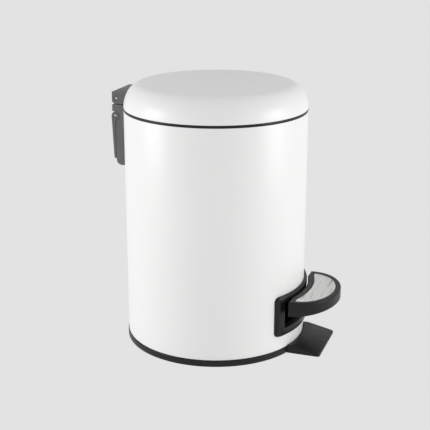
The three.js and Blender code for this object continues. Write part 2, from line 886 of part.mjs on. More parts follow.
function hingeHousing() {
  const handleTop = handlePivotZ + handleKnuckleRadius + gap;
  const body = across(
    outline([
      [0, housingLow],
      [handleSeat, housingLow, housingCorner],
      [handleSeat, handleTop],
      [housingBack, handleTop, housingEdgeRound],
      [housingBack, housingTop, housingEdgeRound],
      [0, housingTop],
    ]),
    -housingHalfWidth,
    housingHalfWidth,
  );
  const bossBack = handleSeat + handleTopDepth - pinBossSunk;
  const pinBoss = across(
    outline([
      [handleSeat - pinBossLap, handlePivotZ - handleKnuckleRadius],
      [handlePivotY, handlePivotZ - handleKnuckleRadius],
      [bossBack, handlePivotZ - handleKnuckleRadius / 2, pinBossRound],
      [bossBack, handleTop + into],
      [handleSeat - pinBossLap, handleTop + into],
    ]),
    -legInside + gap,
    legInside - gap,
  );
  const post = block(
    -cheekInside + gap,
    cheekInside - gap,
    hingeY - hingeKnuckleRadius,
    hingeY + postBehind,
    housingTop - into,
    hingeZ,
  );
  const knuckle = bar(
    [-cheekInside + gap, hingeY, hingeZ],
    [cheekInside - gap, hingeY, hingeZ],
    hingeKnuckleRadius,
  );
  const inside = block(
    -housingHalfWidth + housingWall,
    housingHalfWidth - housingWall,
    0,
    handleSeat - housingWall,
    housingLow + housingWall,
    housingTop - housingWall,
  );
  const screwBosses = housingScrewXs.map((x) =>
    bar(
      [x, 0, housingScrewZ],
      [x, handleSeat - housingWall + into, housingScrewZ],
      screwPadRadius,
    ),
  );
  const screwHoles = housingScrewXs.map((x) =>
    bar(
      [x, 0, housingScrewZ],
      [x, housingScrewTip, housingScrewZ],
      screwRadius + boreClearance,
    ),
  );
  const knuckleReliefs = bothSides.map((side) =>
    bar(
      [side * (legInside - gap), handlePivotY, handlePivotZ],
      [side * (housingHalfWidth + past), handlePivotY, handlePivotZ],
      handleKnuckleRadius + gap,
    ),
  );
  const hollowed = cut(union(body, pinBoss, post, knuckle), inside).add(union(...screwBosses));
  return cut(
    hollowed,
    disc(bodyRadius + gap, housingLow - past, hingeZ + hingeKnuckleRadius + past),
    ...knuckleReliefs,
    pinBore(handlePivotY, handlePivotZ, carryPinRadius),
    pinBore(hingeY, hingeZ, hingePinRadius),
    ...screwHoles,
  );
}

function carryHandle() {
  const seat = handleSeat + gap;
  const topBack = handleSeat + handleTopDepth;
  const plate = across(
    outline([
      [seat, handleLow],
      [handleSeat + handleLowDepth, handleLow, handleEdgeRound],
      [topBack, handlePivotZ],
      [seat, handlePivotZ],
    ]),
    -housingHalfWidth,
    housingHalfWidth,
  );
  const loop = block(
    -legInside,
    legInside,
    seat - past,
    topBack + past,
    handleLow + handleBarHeight,
    handlePivotZ + past,
  );
  const knuckles = bothSides.map((side) =>
    bar(
      [side * legInside, handlePivotY, handlePivotZ],
      [side * housingHalfWidth, handlePivotY, handlePivotZ],
      handleKnuckleRadius,
    ),
  );
  return cut(
    union(plate.subtract(loop), ...knuckles),
    pinBore(handlePivotY, handlePivotZ, carryPinRadius),
  );
}

// ---------------------------------------------------------------- lid

// The lid's outer profile from the axis down to the skirt, moved in by `inset`.
function lidProfile(inset) {
  const edgeRadius = shoulderRadius + shoulderIn * Math.cos(shoulderEnd);
  const dome = Array.from({ length: domeSteps }, (_, i) => {
    const share = i / domeSteps;
    return [edgeRadius * share, overallHeight - domeRise * share ** 2 - inset];
  });
  const shoulder = Array.from({ length: shoulderSteps }, (_, i) => {
    const angle = shoulderEnd * (1 - i / (shoulderSteps - 1));
    return [
      shoulderRadius + (shoulderIn - inset) * Math.cos(angle),
      lidBottom + (shoulderRise - inset) * Math.sin(angle),
    ];
  });
  return [...dome, ...shoulder];
}

// The liner's shoulder, moved in by `inset`, under a flat top at height `flat`.
function linerShoulder(inset, flat) {
  return lidProfile(inset).filter(([, z]) => z < flat - linerEdge);
}

// The radius of the liner's inner face at height z, on its shoulder or on its sloped top corner.
function linerInsideAt(z) {
  const [edge, edgeZ] = linerShoulder(linerInset + linerWall, linerCeiling)[0];
  if (z <= edgeZ) return lidRadiusAt(z, linerInset + linerWall);
  const [outerEdge, outerEdgeZ] = linerShoulder(linerInset, linerFlat)[0];
  const corner = outerEdge - (linerFlat - outerEdgeZ) - linerWall;
  return edge + ((corner - edge) * (z - edgeZ)) / (linerCeiling - edgeZ);
}

function lidScrewHole(x) {
  return bar(
    [x, lidScrewSeat - past, lidScrewZ],
    [x, pocketFront + past, lidScrewZ],
    screwRadius + boreClearance,
  );
}

function lidShell() {
  const shell = turned([...lidProfile(0), ...lidProfile(lidWall).reverse()].reverse());
  return cut(shell, ...lidScrewXs.map(lidScrewHole));
}

function lidLiner() {
  const rim = lidBottom + linerRimLift;
  const outer = linerShoulder(linerInset, linerFlat);
  const inner = linerShoulder(linerInset + linerWall, linerCeiling);
  const topRadius = outer[0][0] - (linerFlat - outer[0][1]);
  const outside = [[0, linerFlat], [topRadius, linerFlat], ...outer.slice(0, -1)];
  outside.push([outer.at(-1)[0], rim]);
  const inside = [[inner.at(-1)[0], rim], ...inner.slice(0, -1).reverse()];
  inside.push([topRadius - linerWall, linerCeiling], [0, linerCeiling]);
  const dish = turned([...outside, ...inside].reverse());
  const envelope = turned([[0, rim], ...[...outside].reverse()]);
  const slope = Math.tan(halfOpen);
  const crankOuter = rodY + rodRadius;
  const crankInner = rodY - rodRadius - gap;
  const crank = across(
    outline([
      [crankInner, hingeZ - (hingeY - crankInner) * slope],
      [crankOuter, hingeZ - (hingeY - crankOuter) * slope],
      [crankOuter, lidBottom + crankStraight],
      [crankOuter - crankTopIn, hingeZ + crankTopRise],
      [crankInner, hingeZ + crankTopRise],
    ]),
    -crankHalfWidth,
    crankHalfWidth,
  );
  const screwPads = lidScrewXs.map((x) =>
    bar([x, lidScrewSeat, lidScrewZ], [x, bodyRadius, lidScrewZ], screwPadRadius).intersect(
      envelope,
    ),
  );
  return cut(union(dish, crank, ...screwPads), ...lidScrewXs.map(lidScrewHole));
}

function hingeCap() {
  const low = housingTop + splitGap;
  const radius = hingeZ - low;
  const frontY = bodyRadius - capFrontIn;
  const backTop = seamHeight + capBackRise;
  const side = new THREE.Shape();
  const cornerAngle = -Math.acos((housingBack - hingeY) / radius);
  side.moveTo(frontY, low);
  side.lineTo(hingeY, low);
  side.absarc(hingeY, hingeZ, radius, -Math.PI / 2, cornerAngle, false);
  side.lineTo(housingBack, backTop - capEdgeRound);
  side.quadraticCurveTo(housingBack, backTop, housingBack - capEdgeRound, backTop);
  side.lineTo(frontY, seamHeight + capFrontRise);
  side.closePath();
  const body = across(side, -housingHalfWidth, housingHalfWidth);
  const pocket = across(
    outline([
      [pocketFront, low - past],
      [housingBack + past, low - past],
      [housingBack + past, hingeZ],
      [housingBack - capWall, hingeZ],
      [housingBack - capWall, hingeZ + hingeKnuckleRadius + gap],
      [pocketFront, hingeZ + hingeKnuckleRadius + gap],
    ]),
    -cheekInside,
    cheekInside,
  );
  const lidOutside = turned([
    [0, low - past],
    [bodyRadius + gap, low - past],
    ...lidProfile(-gap).reverse(),
  ]);
  return cut(
    body,
    pocket,
    lidOutside,
    pinBore(hingeY, hingeZ, hingePinRadius),
    ...lidScrewXs.map(lidScrewHole),
  );
}

// ---------------------------------------------------------------- assembly

add('base_tray', baseTray(), blackPlastic);
add('foot_plate', footPlate(), blackPlastic);
add('outer_shell', outerShell(), whitePaint);
add('pedal_bezel', pedalBezel(), blackPlastic);
add('top_ring', topRing(), blackPlastic);
bufferAngles.forEach((angle, i) => {
  const low = onCircle(bufferCircle, angle, lipTop - bufferSunk);
  const high = onCircle(bufferCircle, angle, lidBottom + linerRimLift - gap);
  add(`lid_buffer_${i + 1}`, bar(low, high, bufferRadius), blackRubber);
});
add('inner_bucket', innerBucket(), blackPlastic);
add('bucket_bail', bucketBail(), zincSteel);

add('pivot_bracket', pivotBracket(), zincSteel);
bracketScrewYs.forEach((y, i) => {
  const seat = [0, y, bracketBottom + bracketThickness + gap];
  const tip = [0, y, trayScrewSkin + gap];
  add(`bracket_screw_${i + 1}`, screw(seat, tip), zincSteel);
});
const pinEnd = bracketEarInside + bracketThickness + pivotPinOver;
add('pivot_pin', bar([-pinEnd, pivotY, pivotZ], [pinEnd, pivotY, pivotZ], pivotRadius), zincSteel);
add('pedal_lever', pedalLever(), zincSteel);
add('pedal', pedal(), blackPlastic);
add('pedal_inlay', pedalInlay(), brushedSteel);
pedalScrewXs.forEach((x, i) => {
  const seat = [x, pedalScrewY, leverFrontBottom - gap];
  const tip = [x, pedalScrewY, pedalPlateLow + pedalScrewBite];
  add(`pedal_screw_${i + 1}`, screw(seat, tip), zincSteel);
});
add('push_rod', pushRod(), zincSteel);

add('hinge_housing', hingeHousing(), greyPlastic);
housingScrewXs.forEach((x, i) => {
  const seatY = Math.sqrt(shellInside ** 2 - (Math.abs(x) + screwHeadRadius) ** 2) - gap;
  const tip = [x, housingScrewTip - gap, housingScrewZ];
  add(`housing_screw_${i + 1}`, screw([x, seatY, housingScrewZ], tip), zincSteel);
});
add('carry_handle', carryHandle(), greyPlastic);
const sideEnd = housingHalfWidth - pinInset;
const carryAxis = [handlePivotY, handlePivotZ];
add('carry_pin', bar([-sideEnd, ...carryAxis], [sideEnd, ...carryAxis], carryPinRadius), zincSteel);
const hingeAxis = [hingeY, hingeZ];
add('hinge_pin', bar([-sideEnd, ...hingeAxis], [sideEnd, ...hingeAxis], hingePinRadius), zincSteel);

add('hinge_cap', hingeCap(), greyPlastic);
add('lid_shell', lidShell(), whitePaint);
add('lid_liner', lidLiner(), blackPlastic);
lidScrewXs.forEach((x, i) => {
  const seat = [x, lidScrewSeat - gap, lidScrewZ];
  const tip = [x, pocketFront - gap, lidScrewZ];
  add(`lid_screw_${i + 1}`, screw(seat, tip), zincSteel);
});

export default object;
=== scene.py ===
"""Looks of a small round pedal bin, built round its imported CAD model.

The CAD nodes set every size and place. Each operator below models one piece, or a group of like
pieces, in their place: metres, origin on the floor under the bin's axis, +Z up, pedal towards -Y.
"""

import math

import bmesh
import bpy
from bpy.props import FloatProperty, FloatVectorProperty, IntProperty, PointerProperty
from bpy.types import Operator, Panel, PropertyGroup
from mathutils import Matrix, Vector


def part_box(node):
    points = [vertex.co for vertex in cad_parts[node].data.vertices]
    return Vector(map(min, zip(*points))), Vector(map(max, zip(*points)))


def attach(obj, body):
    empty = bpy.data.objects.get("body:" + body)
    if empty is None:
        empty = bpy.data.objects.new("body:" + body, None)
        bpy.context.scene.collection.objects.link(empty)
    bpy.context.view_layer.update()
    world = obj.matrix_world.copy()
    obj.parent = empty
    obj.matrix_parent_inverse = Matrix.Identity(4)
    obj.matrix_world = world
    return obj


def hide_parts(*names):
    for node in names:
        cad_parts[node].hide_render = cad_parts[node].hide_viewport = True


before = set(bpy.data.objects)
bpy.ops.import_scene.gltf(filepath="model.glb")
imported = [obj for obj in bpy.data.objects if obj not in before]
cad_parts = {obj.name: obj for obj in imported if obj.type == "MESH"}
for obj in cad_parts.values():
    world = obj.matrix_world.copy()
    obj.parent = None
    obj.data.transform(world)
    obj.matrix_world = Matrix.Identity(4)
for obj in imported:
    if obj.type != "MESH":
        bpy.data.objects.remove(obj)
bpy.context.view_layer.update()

bl_info = {
    "name": "Pedal bin",
    "version": (1, 0, 0),
    "blender": (4, 5, 0),
    "location": "3D View > Sidebar > Pedal bin",
    "description": "Models the pieces of a pedal bin in the places its CAD model gives",
    "category": "Object",
}

MM = 0.001


def linear(hex_colour):
    """An sRGB hex colour as linear red, green and blue."""
    parts = [int(hex_colour[i : i + 2], 16) / 255 for i in (1, 3, 5)]
    return [p / 12.92 if p <= 0.04045 else ((p + 0.055) / 1.055) ** 2.4 for p in parts]


def length(name, description, millimetres):
    """A length property with its default in millimetres."""
    return FloatProperty(
        name=name, description=description, default=millimetres * MM, unit="LENGTH", precision=5
    )


def colour(name, description, hex_colour):
    """A colour property with its default as sRGB hex."""
    return FloatVectorProperty(
        name=name, description=description, default=linear(hex_colour), subtype="COLOR", size=3
    )


class PEDALBIN_PG_sizes(PropertyGroup):
    """Sizes that the CAD boxes don't give."""

    turn_steps: IntProperty(
        name="Steps in a turn", description="Facets round the bin's body", default=192, min=24
    )
    gap: length("Gap", "Room between neighbours that touch", 0.3)
    shell_wall: length("Shell wall", "Thickness of the painted steel", 0.8)
    steel_edge: length("Steel edge", "Rounding on a cut steel edge", 0.25)
    plastic_edge: length("Plastic edge", "Rounding on a moulded edge", 0.6)
    tray_height: length("Tray height", "Visible height of the tray's rim", 6)
    tray_floor: length("Tray floor", "Thickness of the tray's floor", 3.2)
    tray_wall: length("Tray wall", "Thickness of the tray's upstand", 1.8)
    window_half_width: length("Window half width", "Half of the pedal window's width", 37)
    window_low: length("Window low", "Lower edge of the pedal window", 27.5)
    window_high: length("Window high", "Upper edge of the pedal window", 52)
    window_corner: length("Window corner", "Corner radius of the pedal window", 2)
    sleeve_wall: length("Sleeve wall", "Thickness of the bezel's sleeve", 1.2)
    bezel_corner: length("Bezel corner", "Corner radius of the bezel", 4.5)
    bezel_edge: length("Bezel edge", "Width of the chamfer round the bezel", 1.8)
    bezel_bend_step: length("Bezel bend step", "Width of a strip of the curved bezel", 2)
    pedal_edge: length("Pedal edge", "Rounding of the pedal's top edge", 1.3)
    pedal_wall: length("Pedal wall", "Thickness of the pedal's side", 2.6)
    pedal_plate: length("Pedal plate", "Thickness of the pedal's top", 4)
    pedal_tip_height: length("Pedal tip height", "Height of the pedal's side at its tip", 9.8)
    pedal_shoulder: length("Pedal shoulder", "Where the sides start to curve in", 90)
    pedal_inside: length("Pedal inside", "Radius of the pedal's edge round the bezel", 89.2)
    inlay_rim: length("Inlay rim", "Plastic round the steel pad", 5)
    inlay_back_rim: length("Inlay back rim", "Plastic behind the steel pad", 6)
    foot_corner: length("Foot corner", "Corner radius of the foot plate", 2.4)
    foot_root_height: length("Foot root height", "Height of the foot plate at the tray", 7.5)
    foot_edge_height: length("Foot edge height", "Height of its front edge", 2)
    ring_skirt: length("Ring skirt", "Thickness of the top ring's skirt", 1.6)
    ring_shelf: length("Ring shelf", "Thickness of the shelf under the bucket", 1.7)
    seam_lip: length("Seam lip", "Visible height of the ring under the lid", 1.9)
    bucket_wall: length("Bucket wall", "Thickness of the bucket", 1.2)
    bucket_taper: length("Bucket taper", "Narrower at the floor by this much", 4)
    bucket_round: length("Bucket round", "Rounding of the bucket's floor", 2.4)
    bucket_flange: length("Bucket flange", "Width of the bucket's rim", 3.5)
    bail_radius: length("Bail radius", "Radius of the bucket's wire handle", 1.4)
    lid_wall: length("Lid wall", "Thickness of the lid's steel", 0.8)
    lid_lean: length("Lid lean", "How far the lid's shoulder leans in", 17.4)
    dome_rise: length("Dome rise", "Rise of the lid's crown above its shoulder", 4.67)
    liner_gap: length("Liner gap", "Room between the lid and its liner", 0.5)
    liner_wall: length("Liner wall", "Thickness of the lid's liner", 1.6)
    housing_corner: length("Housing corner", "Lower corner radius of the hinge housing", 5)
    handle_edge: length("Handle edge", "Rounding of the carry handle", 0.9)
    knuckle_radius: length("Handle knuckle", "Radius of the carry handle's knuckles", 4)
    handle_leg: length("Handle leg", "Width of the carry handle's legs", 5)


class PEDALBIN_PG_colours(PropertyGroup):
    """Colours of the finishes."""

    paint: colour("Paint", "White powder coat", "#f2f2f1")
    black: colour("Black plastic", "Black moulded polypropylene", "#131314")
    grey: colour("Grey plastic", "Dark grey moulded ABS", "#565658")
    steel: colour("Brushed steel", "Brushed stainless steel", "#f2f2f0")
    zinc: colour("Zinc plate", "Zinc-plated steel", "#b2b6b9")
    rubber: colour("Rubber", "Black nitrile rubber", "#101011")
    floor: colour("Floor", "Pale studio floor", "#e3e3e3")


class PEDALBIN_PG_camera(PropertyGroup):
    """Where the camera stands."""

    azimuth: FloatProperty(
        name="Azimuth",
        description="Turn of the camera round the bin, from straight in front of the pedal",
        default=math.radians(-71),
        subtype="ANGLE",
    )
    pitch: FloatProperty(
        name="Pitch",
        description="How far the camera looks down",
        default=math.radians(17.54),
        subtype="ANGLE",
    )
    distance: length("Distance", "From the camera to the bin's axis, level with the floor", 928)
    height: length("Height", "Camera above the floor", 410)
    lens: FloatProperty(
        name="Lens", description="Focal length", default=85.5, subtype="DISTANCE_CAMERA"
    )
    shift_x: FloatProperty(
        name="Shift across", description="Share of the frame's width", default=-0.0023
    )
    shift_y: FloatProperty(
        name="Shift up", description="Share of the frame's width", default=0.0027
    )


# ---------------------------------------------------------------- materials


def add(tree, kind, settings=(), values=(), links=()):
    """Adds a node with its settings, its sockets' values and the sockets that feed it."""
    node = tree.nodes.new(kind)
    for key, value in dict(settings).items():
        setattr(node, key, value)
    for key, value in dict(values).items():
        node.inputs[key].default_value = value
    for key, source in dict(links).items():
        tree.links.new(source, node.inputs[key])
    return node


def new_material(name):
    """A material with an empty tree, its shader and its output, and the object's coordinates."""
    material = bpy.data.materials.new(name)
    material.use_nodes = True
    tree = material.node_tree
    tree.nodes.clear()
    shader = add(tree, "ShaderNodeBsdfPrincipled")
    add(tree, "ShaderNodeOutputMaterial", links={"Surface": shader.outputs["BSDF"]})
    place = add(tree, "ShaderNodeTexCoord").outputs["Object"]
    return material, tree, shader, place


def noise(tree, place, scale, detail, roughness=0.5, distortion=0):
    """A noise pattern, from 0 to 1; its scale is in waves per metre."""
    values = {"Scale": scale, "Detail": detail, "Roughness": roughness, "Distortion": distortion}
    return add(tree, "ShaderNodeTexNoise", values=values, links={"Vector": place}).outputs["Fac"]


def between(tree, factor, low, high, start=0, end=1):
    """A number that runs from low to high as a factor goes from start to end."""
    values = {"From Min": start, "From Max": end, "To Min": low, "To Max": high}
    node = add(tree, "ShaderNodeMapRange", values=values, links={"Value": factor})
    return node.outputs["Result"]


def blend(tree, factor, first, second):
    """A colour between two others."""
    kind = {"data_type": "RGBA"}
    node = add(tree, "ShaderNodeMix", kind, {6: (*first, 1), 7: (*second, 1)}, {0: factor})
    return node.outputs[2]


def relief(tree, height, strength, depth):
    """A bumped surface from a pattern of heights, at most `depth` deep."""
    values = {"Strength": strength, "Distance": depth}
    return add(tree, "ShaderNodeBump", values=values, links={"Height": height}).outputs["Normal"]


def feed(tree, shader, links, values=()):
    """Joins sockets to the shader and sets its other values."""
    for key, source in links.items():
        tree.links.new(source, shader.inputs[key])
    for key, value in dict(values).items():
        shader.inputs[key].default_value = value


def white_powder_coat(context):
    """Polyester powder coat on steel, sprayed and baked: a satin white whose faint orange peel
    breaks up the highlights."""
    tint = context.scene.bin_colours.paint
    material, tree, shader, place = new_material("white_powder_coat")
    # Orange peel is 1 to 2 mm from crest to crest: 600 per metre.
    peel = noise(tree, place, 600, 2, roughness=0.4)
    # Film thickness drifts over some 40 mm of a sprayed wall.
    drift = noise(tree, place, 25, 3)
    thin = [c * share for c, share in zip(tint, (0.975, 0.975, 0.98))]
    links = {
        "Base Color": blend(tree, drift, tint, thin),
        "Roughness": between(tree, drift, 0.3, 0.42),
        "Normal": relief(tree, peel, 0.12, 0.2 * MM),
    }
    feed(tree, shader, links, {"IOR": 1.5})
    return material


def moulded_plastic(name, tint, low, high, specular):
    """Injection-moulded plastic with the fine spark-eroded grain of its tool: a soft sheen that
    changes a little where the melt flowed."""
    material, tree, shader, place = new_material(name)
    # Spark grain is about 0.1 mm; it is drawn at 0.7 mm so that it shows.
    grain = noise(tree, place, 1400, 2, roughness=0.6)
    # Flow marks are some 15 mm across.
    flow = noise(tree, place, 65, 2, distortion=0.6)
    pale = [min(1, c * 1.35 + 0.004) for c in tint]
    links = {
        "Base Color": blend(tree, flow, tint, pale),
        "Roughness": between(tree, flow, low, high, 0.3, 0.7),
        "Normal": relief(tree, grain, 0.22, 0.12 * MM),
    }
    feed(tree, shader, links, {"IOR": 1.49, "Specular IOR Level": specular})
    return material


def scratched(tree, place, degrees, scale, detail, roughness=0.5):
    """Noise stretched into lines that run across the pedal, turned by some degrees."""
    values = {"Rotation": (0, 0, math.radians(degrees)), "Scale": scale}
    stretched = add(tree, "ShaderNodeMapping", values=values, links={"Vector": place})
    return noise(tree, stretched.outputs["Vector"], 1, detail, roughness)


def brushed_stainless_steel(context):
    """Stainless sheet brushed on a belt across the pedal: long fine scratches that stretch the
    highlights."""
    tint = context.scene.bin_colours.steel
    material, tree, shader, place = new_material("brushed_stainless_steel")
    # Scratches are under 0.1 mm wide and run 20 to 40 mm; drawn 0.6 mm wide so that they show.
    scratches = scratched(tree, place, 8, (30, 1600, 30), 3, 0.65)
    bands = scratched(tree, place, 14, (22, 260, 22), 2)
    product = {"operation": "MULTIPLY"}
    lines = add(tree, "ShaderNodeMath", product, links={0: scratches, 1: bands}).outputs["Value"]
    links = {
        "Base Color": blend(tree, between(tree, lines, 0, 1, 0.12, 0.21), [c * 0.5 for c in tint], tint),
        "Roughness": between(tree, lines, 0.5, 0.28, 0.1, 0.4),
        "Normal": relief(tree, scratches, 0.3, 0.1 * MM),
    }
    feed(tree, shader, links, {"Metallic": 1})
    return material


def zinc_plated_steel(context):
    """Pressed steel with bright zinc plating: a cool grey with cloudy patches from the bath."""
    tint = context.scene.bin_colours.zinc
    material, tree, shader, place = new_material("zinc_plated_steel")
    # Clouds in the plating are 3 to 5 mm across.
    clouds = noise(tree, place, 240, 4, roughness=0.55)
    links = {
        "Base Color": blend(tree, clouds, [c * 0.72 for c in tint], tint),
        "Roughness": between(tree, clouds, 0.5, 0.3),
        "Normal": relief(tree, clouds, 0.1, 0.1 * MM),
    }
    feed(tree, shader, links, {"Metallic": 1})
    return material


def nitrile_rubber(context):
    """Moulded nitrile rubber: matt black with a little pale bloom."""
    tint = context.scene.bin_colours.rubber
    material, tree, shader, place = new_material("nitrile_rubber")
    # Bloom gathers in 1 mm specks.
    bloom = noise(tree, place, 900, 3)
    links = {
        "Base Color": blend(tree, bloom, tint, [c + 0.02 for c in tint]),
        "Roughness": between(tree, bloom, 0.7, 0.9),
    }
    feed(tree, shader, links)
    return material


MATERIALS = {
    "white_paint": white_powder_coat,
    "black_plastic": lambda context: moulded_plastic(
        "black_polypropylene", context.scene.bin_colours.black, 0.32, 0.44, 0.3
    ),
    "grey_plastic": lambda context: moulded_plastic(
        "dark_grey_abs", context.scene.bin_colours.grey, 0.4, 0.52, 0.35
    ),
    "brushed_steel": brushed_stainless_steel,
    "zinc_steel": zinc_plated_steel,
    "black_rubber": nitrile_rubber,
}
made_materials = {}


def finish_for(context, slot):
    """The material for one of the record's slots, made once."""
    if slot not in made_materials:
        made_materials[slot] = MATERIALS[slot](context)
    return made_materials[slot]


# ---------------------------------------------------------------- modelling


def tidy(bm):
    """Merges doubled vertices and turns the faces outwards."""
    bmesh.ops.remove_doubles(bm, verts=bm.verts, dist=1e-6)
    bmesh.ops.recalc_face_normals(bm, faces=bm.faces)


def spun(context, profile, closed=True):
    """A profile of (radius, height) points spun round the bin's axis."""
    bm = bmesh.new()
    verts = [bm.verts.new((r, 0, z)) for r, z in profile]
    edges = [bm.edges.new(pair) for pair in zip(verts, verts[1:])]
    if closed:
        edges.append(bm.edges.new((verts[-1], verts[0])))
    bmesh.ops.spin(
        bm,
        geom=[*verts, *edges],
        cent=(0, 0, 0),
        axis=(0, 0, 1),
        angle=math.tau,
        steps=context.scene.bin_sizes.turn_steps,
        use_merge=True,
    )
    tidy(bm)
    return bm


def drawn_out(bm, run):
    """bm's one flat face drawn out along a vector into a solid."""
    pushed = bmesh.ops.extrude_face_region(bm, geom=list(bm.faces))["geom"]
    verts = [v for v in pushed if isinstance(v, bmesh.types.BMVert)]
    bmesh.ops.translate(bm, verts=verts, vec=run)
    tidy(bm)
    return bm


def slab(points, run):
    """A flat outline drawn out along a vector."""
    bm = bmesh.new()
    bm.faces.new([bm.verts.new(p) for p in points])
    return drawn_out(bm, run)


def across(outline, half_width):
    """An outline of (y, z) points run from -half_width to half_width along X."""
    return slab([(-half_width, y, z) for y, z in outline], (2 * half_width, 0, 0))


def box_between(low, high):
    """A block from its lowest to its highest corner."""
    bm = bmesh.new()
    low, high = Vector(low), Vector(high)
    made = bmesh.ops.create_cube(bm, size=1)
    bmesh.ops.scale(bm, vec=high - low, verts=made["verts"])
    bmesh.ops.translate(bm, vec=(low + high) / 2, verts=made["verts"])
    return bm


def rod(start, end, radius, segments=48):
    """A round bar from start to end."""
    bm = bmesh.new()
    start, end = Vector(start), Vector(end)
    run = end - start
    turn = run.to_track_quat("Z", "Y").to_matrix().to_4x4()
    bmesh.ops.create_cone(
        bm,
        cap_ends=True,
        segments=segments,
        radius1=radius,
        radius2=radius,
        depth=run.length,
        matrix=Matrix.Translation((start + end) / 2) @ turn,
    )
    return bm


def soften(bm, width, segments=3, angle=35, only=None):
    """Rounds the edges that are sharper than an angle, or those that `only` picks."""
    limit = math.radians(angle)
    sharp = [
        e
        for e in bm.edges
        if e.is_manifold and e.calc_face_angle(0) > limit and (only is None or only(e))
    ]
    bmesh.ops.bevel(
        bm,
        geom=sharp,
        offset=width,
        offset_type="OFFSET",
        segments=segments,
        profile=0.5,
        affect="EDGES",
        clamp_overlap=True,
        material=-1,
    )
    return bm


def as_object(bm, name):
    """A scratch object that holds a bmesh."""
    mesh = bpy.data.meshes.new(name)
    bm.to_mesh(mesh)
    bm.free()
    made = bpy.data.objects.new(name, mesh)
    bpy.context.scene.collection.objects.link(made)
    return made


def combined(bm, tool, operation):
    """bm with another solid taken away, joined or kept in common, by a Boolean modifier."""
    base, other = as_object(bm, "base"), as_object(tool, "tool")
    modifier = base.modifiers.new("cut", "BOOLEAN")
    modifier.object = other
    modifier.operation = operation
    modifier.solver = "MANIFOLD"
    bpy.context.view_layer.update()
    evaluated = base.evaluated_get(bpy.context.evaluated_depsgraph_get())
    result = bmesh.new()
    result.from_mesh(evaluated.to_mesh())
    evaluated.to_mesh_clear()
    for scratch in (base, other):
        bpy.data.meshes.remove(scratch.data)
    if not result.faces:
        raise RuntimeError(f"nothing was left after a Boolean {operation.lower()}")
    return result


def cut(bm, *tools):
    """bm with each tool taken away."""
    for tool in tools:
        bm = combined(bm, tool, "DIFFERENCE")
    return bm


def joined(bm, *others):
    """bm and others as one solid."""
    for other in others:
        bm = combined(bm, other, "UNION")
    return bm


def place_piece(context, bm, name, body, slot, nodes, smooth_angle=32):
    """Makes a finished bmesh a piece that rides on a CAD body and stands for CAD nodes."""
    tidy(bm)
    limit = math.radians(smooth_angle)
    for face in bm.faces:
        face.smooth = True
    for edge in bm.edges:
        edge.smooth = edge.is_manifold and edge.calc_face_angle(0) < limit
    mesh = bpy.data.meshes.new(name)
    bm.to_mesh(mesh)
    bm.free()
    mesh.materials.append(finish_for(context, slot))
    piece = bpy.data.objects.new(name, mesh)
    context.scene.collection.objects.link(piece)
    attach(piece, body)
    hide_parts(*nodes)
    return piece


def round_corners(bm, verts, radius):
    """Rounds the corners of a flat face or the bends of a line."""
    bmesh.ops.bevel(
        bm,
        geom=verts,
        offset=radius,
        offset_type="OFFSET",
        segments=6,
        profile=0.5,
        affect="VERTICES",
        clamp_overlap=True,
        material=-1,
    )


def prism(half_width, low, high, corner, y, run):
    """A rounded block across X and Z, from y and on by `run`."""
    bm = bmesh.new()
    corners = [(-half_width, low), (half_width, low), (half_width, high), (-half_width, high)]
    verts = [bm.verts.new((x, y, z)) for x, z in corners]
    bm.faces.new(verts)
    round_corners(bm, verts, corner)
    return drawn_out(bm, (0, run, 0))


def window_prism(context, margin, y, run):
    """A bar along Y with the outline of the pedal window, larger by a margin all round."""
    s = context.scene.bin_sizes
    half, low, high = s.window_half_width + margin, s.window_low - margin, s.window_high + margin
    return prism(half, low, high, s.window_corner + margin, y, run)


def swept_wire(points, radius):
    """A round wire along points, swept as a bevelled curve and made a mesh, with a rounded nose on top."""
    curve = bpy.data.curves.new("wire", "CURVE")
    curve.dimensions = "3D"
    curve.bevel_depth = radius
    curve.bevel_resolution = 5
    curve.use_fill_caps = True
    spline = curve.splines.new("POLY")
    spline.points.add(len(points) - 1)
    for target, point in zip(spline.points, points):
        target.co = (*point, 1)
    made = bpy.data.objects.new("wire", curve)
    bpy.context.scene.collection.objects.link(made)
    bpy.context.view_layer.update()
    evaluated = made.evaluated_get(bpy.context.evaluated_depsgraph_get())
    bm = bmesh.new()
    bm.from_mesh(evaluated.to_mesh())
    evaluated.to_mesh_clear()
    bpy.data.curves.remove(curve)
    tidy(bm)
    nose = max(bm.verts, key=lambda v: v.co.z).co.z
    at_nose = lambda e: max(v.co.z for v in e.verts) > nose - MM
    soften(bm, radius * 0.6, segments=4, angle=60, only=at_nose)
    return bm


def pin_axis(node):
    """The y and z of a pin's axis."""
    low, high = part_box(node)
    return (low.y + high.y) / 2, (low.z + high.z) / 2


def pin_bore(node):
    """A bar through all the pieces that a pin runs in, to cut their bores with."""
    y, z = pin_axis(node)
    return rod((-100 * MM, y, z), (100 * MM, y, z), 1.9 * MM)


def lid_profile(context, inset, dome_steps=14, shoulder_steps=30):
    """The lid's outer profile from the axis to the skirt, moved in by `inset`."""
    s = context.scene.bin_sizes
    low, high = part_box("lid_shell")
    bend = high.x - s.lid_lean
    end = math.radians(84)
    rise = (high.z - s.dome_rise - low.z) / math.sin(end)
    edge = bend + s.lid_lean * math.cos(end)
    dome = [
        (edge * i / dome_steps, high.z - s.dome_rise * (i / dome_steps) ** 2 - inset)
        for i in range(dome_steps)
    ]
    angles = [end * (1 - i / shoulder_steps) for i in range(shoulder_steps + 1)]
    shoulder = [
        (
            bend + (s.lid_lean - inset) * math.cos(a),
            low.z + (rise - inset) * math.sin(a),
        )
        for a in angles
    ]
    return dome + shoulder


# ---------------------------------------------------------------- pieces


